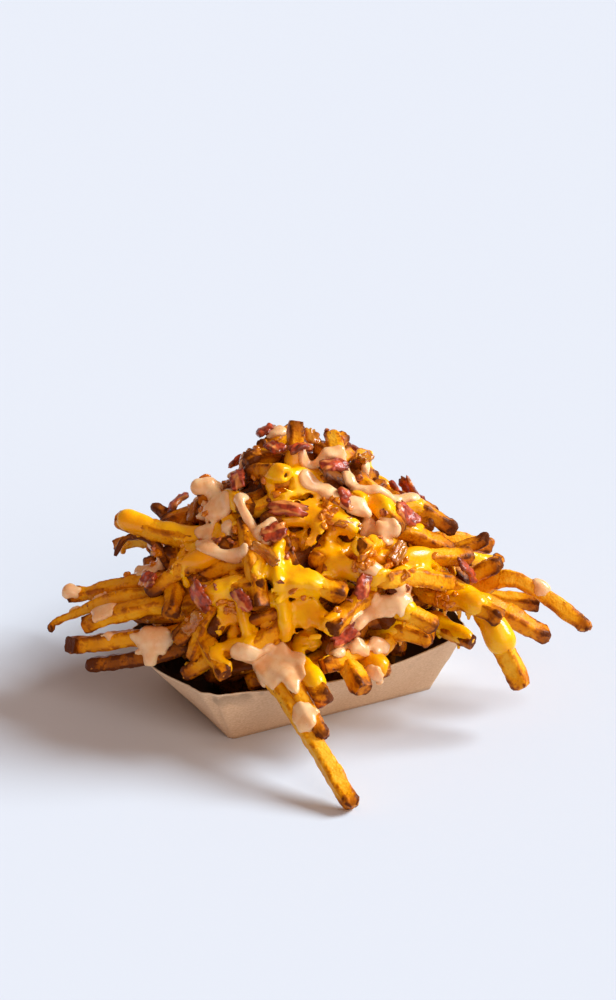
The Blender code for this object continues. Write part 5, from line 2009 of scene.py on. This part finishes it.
@dataclass
class Flecks:
    """Small bits on a surface: their spots are found from outside, a Geometry Nodes tree lays them."""

    name: str
    count: int
    sizes: tuple[float, float]
    flatness: float
    seed: int
    roundness: int = 2
    roughness: float = 1.0
    lowest: float = 0.0
    sink: float = 0.2 * MM
    clusters: tuple[tuple[Spot, float, int], ...] = ()
    seen_from: Spot = (0, 0.92, 0.39)
    ray_start: float = 40
    cluster_height: float = 0.8
    tries: int = 12
    nearness: float = 0.1 * MM
    steepest: float = 0.3
    narrowness: float = 0.75
    lump_share: float = 0.9

    def clustered(self, surfaces: BVHTree) -> list[tuple[Vector, Vector]]:
        """Points and the ways that they face for the bits that lie close together in clusters."""
        rng = random.Random(self.seed + 40)
        view = from_show(self.seen_from).normalized()
        side = view.cross(UP).normalized()
        over = side.cross(view)
        found = []
        for spot, radius, count in self.clusters:
            for _ in range(count):
                angle, reach = rng.uniform(0, math.tau), radius * MM * math.sqrt(rng.random())
                place = from_show(spot) + side * math.cos(angle) * reach
                place += over * math.sin(angle) * reach * self.cluster_height
                hit, normal = seen(surfaces, place, view, self.ray_start)
                if hit is not None:
                    found.append((hit - view * self.sink, normal))
        return found

    def spots(self, surfaces: BVHTree, host: BVHTree) -> Mesh:
        """Points where bits lie: each can be seen from outside and lies on the host.

        Args:
            surfaces: Everything that could hide the host.
            host: What the bits lie on.

        Returns:
            A mesh of points with the way that each faces.
        """
        rng = random.Random(self.seed)
        places, facing = [], []
        for _ in range(self.count * self.tries):
            rise = math.degrees(math.asin(rng.uniform(math.sin(math.radians(self.lowest)), 1)))
            towards = heading(rng.uniform(-180, 180), rise)
            hit, normal = surfaces.ray_cast(HEART + towards * REACH, -towards)[:2]
            if hit is None or normal.dot(towards) < self.steepest:
                continue
            if host.find_nearest(hit)[3] > self.nearness:
                continue
            places.append(hit - towards * self.sink)
            facing += tuple(normal)
            if len(places) == self.count:
                break
        for place, normal in self.clustered(surfaces):
            places.append(place)
            facing += tuple(normal)
        mesh = bpy.data.meshes.new(self.name)
        mesh.from_pydata(places, [], [])
        mesh.attributes.new("facing", "FLOAT_VECTOR", "POINT").data.foreach_set("vector", facing)
        return mesh

    def tree(self, material: Material) -> NodeTree:
        """The tree that lays a bit on each spot."""
        group, given, gives = start_tree(
            self.name, least=self.sizes[0], most=self.sizes[1], flatness=self.flatness,
            narrowness=self.narrowness, roughness=self.roughness, lump_share=self.lump_share, seed=self.seed,
        )
        own = given.outputs
        facing = {"Vector": named(group, "facing", "FLOAT_VECTOR")}
        upright = put(group, "FunctionNodeAlignRotationToVector", facing, axis="Z").outputs[0]
        turns = {"Min": 0.0, "Max": math.tau, "Seed": own["Seed"]}
        turn = put(group, "FunctionNodeRandomValue", turns, data_type="FLOAT").outputs[1]
        about = {"Axis": (0.0, 0.0, 1.0), "Angle": turn}
        turned = put(group, "FunctionNodeAxisAngleToRotation", about).outputs[0]
        both = {0: upright, 1: turned}
        rotation = put(group, "FunctionNodeRotateRotation", both, rotation_space="LOCAL").outputs[0]
        chances = {"Min": (0.0, 0.0, 0.0), "Max": (1.0, 1.0, 1.0), "Seed": own["Seed"]}
        size = put(group, "FunctionNodeRandomValue", chances, data_type="FLOAT_VECTOR").outputs[0]
        least = put(group, "ShaderNodeCombineXYZ", dict.fromkeys(range(3), own["Least"])).outputs[0]
        spread = math_of(group, "SUBTRACT", own["Most"], own["Least"])
        shares = {0: 1.0, 1: own["Narrowness"], 2: own["Flatness"]}
        flat = put(group, "ShaderNodeCombineXYZ", shares).outputs[0]
        size = vector_of(group, "MULTIPLY", vector_of(group, "ADD", scaled(group, size, spread), least), flat)
        ball = {"Radius": 1.0, "Subdivisions": self.roundness}
        bit = put(group, "GeometryNodeMeshIcoSphere", ball).outputs[0]
        spots = put(group, "GeometryNodeMeshToPoints", {"Mesh": own["Geometry"]}).outputs[0]
        lay = {"Points": spots, "Instance": bit, "Rotation": rotation, "Scale": size}
        laid = change(group, "RealizeInstances", put(group, "GeometryNodeInstanceOnPoints", lay).outputs[0])
        place = put(group, "GeometryNodeInputPosition").outputs[0]
        grain = math_of(group, "DIVIDE", own["Lump Share"], own["Most"])
        reach = math_of(group, "MULTIPLY", own["Roughness"], own["Most"])
        laid = change(group, "SetPosition", laid, Offset=swung_vector(group, place, grain, reach))
        return end_tree(group, gives, laid, material)

    def build(self, surfaces: BVHTree, host: BVHTree, material: Material) -> Object:
        """Lays the bits on the host and puts them in the frame."""
        piece = use_tree(link(self.spots(surfaces, host), self.name), self.tree(material))
        outward(piece.data)
        smooth_shaded(piece.data)
        put_in_frame(piece)
        return piece


@dataclass
class Studio:
    """The camera, the pale floor and the soft lights."""

    azimuth: float = -28
    elevation: float = 23
    distance: float = 1.015
    target: tuple[float, float, float] = (3 * MM, -2.5 * MM, 89 * MM)
    lens: float = 85
    sensor: float = 36
    floor: Colour = (0.66, 0.70, 0.77)
    key: Colour = (0.82, 0.93, 1.0)
    key_strength: float = 4.9
    key_spread: float = 28
    fill: Colour = (1.0, 0.84, 0.72)
    fill_strength: float = 0.95
    fill_spread: float = 40
    sky: Colour = (1.0, 0.7, 0.58)
    sky_strength: float = 0.32
    key_from: Spot = (0.8, 0.16, 0.62)
    fill_from: Spot = (0.5, -0.7, 0.55)
    floor_half: float = 6
    floor_roughness: float = 0.9

    def axes(self) -> tuple[Vector, Vector]:
        """The directions from the target to the camera and to the camera's right."""
        turn, lift = math.radians(self.azimuth), math.radians(self.elevation)
        level = math.cos(lift)
        back = Vector((math.sin(turn) * level, -math.cos(turn) * level, math.sin(lift)))
        right = Vector((math.cos(turn), math.sin(turn), 0))
        return back, right

    def camera(self) -> None:
        """Sets up the camera at the photograph's angle."""
        back = self.axes()[0]
        data = bpy.data.cameras.new("camera")
        data.lens = self.lens
        data.sensor_width = self.sensor
        camera = bpy.data.objects.new("camera", data)
        camera.location = Vector(self.target) + back * self.distance
        camera.rotation_euler = back.to_track_quat("Z", "Y").to_euler()
        bpy.context.scene.collection.objects.link(camera)
        bpy.context.scene.camera = camera

    def sun(self, name: str, towards: Vector, colour: Colour, strength: float, spread: float) -> None:
        """Adds a soft light that shines from a direction all over the scene.

        Args:
            name: The light's name.
            towards: Where it stands.
            colour: Its colour.
            strength: How strong it is.
            spread: How wide its disc is, in degrees.
        """
        data = bpy.data.lights.new(name, "SUN")
        data.energy = strength
        data.angle = math.radians(spread)
        data.color = colour
        lamp = bpy.data.objects.new(name, data)
        lamp.location = towards
        lamp.rotation_euler = towards.to_track_quat("Z", "Y").to_euler()
        bpy.context.scene.collection.objects.link(lamp)

    def build(self) -> None:
        """Makes the floor, the lights and the sky."""
        back, right = self.axes()
        behind = Vector((-back.x, -back.y, 0)).normalized()
        for name, (aside, beyond, above), colour, strength, spread in (
            ("key", self.key_from, self.key, self.key_strength, self.key_spread),
            ("fill", self.fill_from, self.fill, self.fill_strength, self.fill_spread),
        ):
            self.sun(name, right * aside + behind * beyond + UP * above, colour, strength, spread)
        mesh = bpy.data.meshes.new("floor")
        half = self.floor_half
        corners = [(-half, -half, 0), (half, -half, 0), (half, half, 0), (-half, half, 0)]
        mesh.from_pydata(corners, [], [(0, 1, 2, 3)])
        floor = link(mesh, "floor")
        material = bpy.data.materials.new("floor")
        material.use_nodes = True
        shader = material.node_tree.nodes["Principled BSDF"]
        shader.inputs["Base Color"].default_value = (*self.floor, 1)
        shader.inputs["Roughness"].default_value = self.floor_roughness
        shader.inputs["Specular IOR Level"].default_value = 0.0
        mesh.materials.append(material)
        world = bpy.data.worlds.new("sky")
        world.use_nodes = True
        light = world.node_tree.nodes["Background"]
        light.inputs["Color"].default_value = (*self.sky, 1)
        light.inputs["Strength"].default_value = self.sky_strength
        bpy.context.scene.world = world
        bpy.context.scene.view_settings.view_transform = "Standard"


class Host(Enum):
    """What small bits lie on."""

    ALL = "fries and sauces"
    CHEESE = "cheese sauce"
    FRIES = "fries"


# Each chopped topping's kind, piece, slot, finish and shape.
TOPPINGS = (
    (
        Chip.BACON, "bacon_bits", "bacon", BaconFinish(),
        ChipShape(0.8 * MM, 1.0, 0.3, 0.0, (1.06, 1.08, 1.2 * MM)),
    ),
    (
        Chip.ONION, "onion_strips", "soft_onion", OnionFinish(),
        ChipShape(1.0 * MM, 1.0, 0.2, 0.35 * MM, (1.04, 1.0, 1.1 * MM)),
    ),
)

# Clusters of small bits of onion: the middle of each, its radius in mm and how many bits it has.
ONION_CLUSTERS = (
    ((13, 33, 94), 5, 12), ((27.5, 42, 80), 5, 13), ((42, 40, 74), 6, 13),
    ((63, 36, 58.6), 5, 10), ((14, 28, 99), 4, 8), ((-19, 10, 102), 5, 10),
    ((-15.7, 2, 112), 3, 6), ((-30, 50, 62), 4, 8),
)

FLECKS = (
    (
        Host.ALL,
        Flecks("bacon_crumbs", 54, (0.8 * MM, 2.1 * MM), 0.55, 3, 3, 1.6, 12.0, -0.1 * MM),
        FleckFinish("bacon_crumb", (0.22, 0.03, 0.004), (0.62, 0.16, 0.02), 0.35),
    ),
    (
        Host.ALL,
        Flecks("onion_crumbs", 44, (1.0 * MM, 2.4 * MM), 0.7, 5, 3, 1.1, 12.0, -0.3 * MM, ONION_CLUSTERS),
        FleckFinish("onion_crumb", (0.78, 0.25, 0.004), (0.54, 0.13, 0.002), 0.1),
    ),
    (
        Host.CHEESE,
        Flecks("pepper_flecks", 46, (0.15 * MM, 0.45 * MM), 0.5, 7, 2, 0.8),
        FleckFinish("pepper", (0.03, 0.025, 0.01), (0.06, 0.08, 0.015)),
    ),
    (
        Host.FRIES,
        Flecks("crumbs", 150, (0.3 * MM, 0.9 * MM), 0.7, 4, 2, 1.0, -20.0),
        FleckFinish("crumb", (0.30, 0.07, 0.004), (0.66, 0.24, 0.01)),
    ),
)


def main() -> None:
    """Builds every piece in order and reports it."""
    logging.basicConfig(level=logging.INFO, format="%(name)s: %(message)s")
    studio = Studio()
    studio.camera()
    studio.build()
    effects = Effects()

    BOAT.dress(BOAT.build(), KraftFinish().material(effects))

    layout = HeapLayout()
    core_mesh = layout.core()
    core = tree_of([core_mesh])
    laid = layout.laid(core)
    heap = FryHeap()
    potato = PotatoFinish().material(effects)
    tree = heap.tree(potato)
    pieces = [
        heap.build("laid_fries", list(laid.values()), tree, layout.path_points),
        heap.build("course_fries", layout.course(core, laid), tree, layout.path_points),
        heap.build("under_fries", layout.under(core), tree, layout.path_points),
    ]
    for piece in (*pieces, heap.middle(core_mesh, potato)):
        heap.dress(piece)

    meshes = [piece.data for piece in pieces]
    fried = tree_of(meshes)
    cheese = CheeseSauce(core, fried)
    coat = cheese.build(laid, meshes, CheeseFinish().material(effects))
    cheese.dress(coat)
    pink = PinkSauce(core, tree_of([*meshes, coat.data]))
    drizzle = pink.build(laid, PinkFinish().material(effects))
    pink.dress(drizzle)

    for kind, name, slot, finish, shape in TOPPINGS:
        chips = Chips(kind, shape)
        chips.dress(chips.build(name), finish.material(effects), slot)

    hosts = {
        Host.ALL: tree_of([*meshes, coat.data, drizzle.data]),
        Host.CHEESE: tree_of([coat.data]),
        Host.FRIES: fried,
    }
    for host, flecks, finish in FLECKS:
        flecks.build(hosts[Host.ALL], hosts[host], finish.material(effects))
    bpy.data.meshes.remove(core_mesh)


if __name__ == "__main__":
    main()
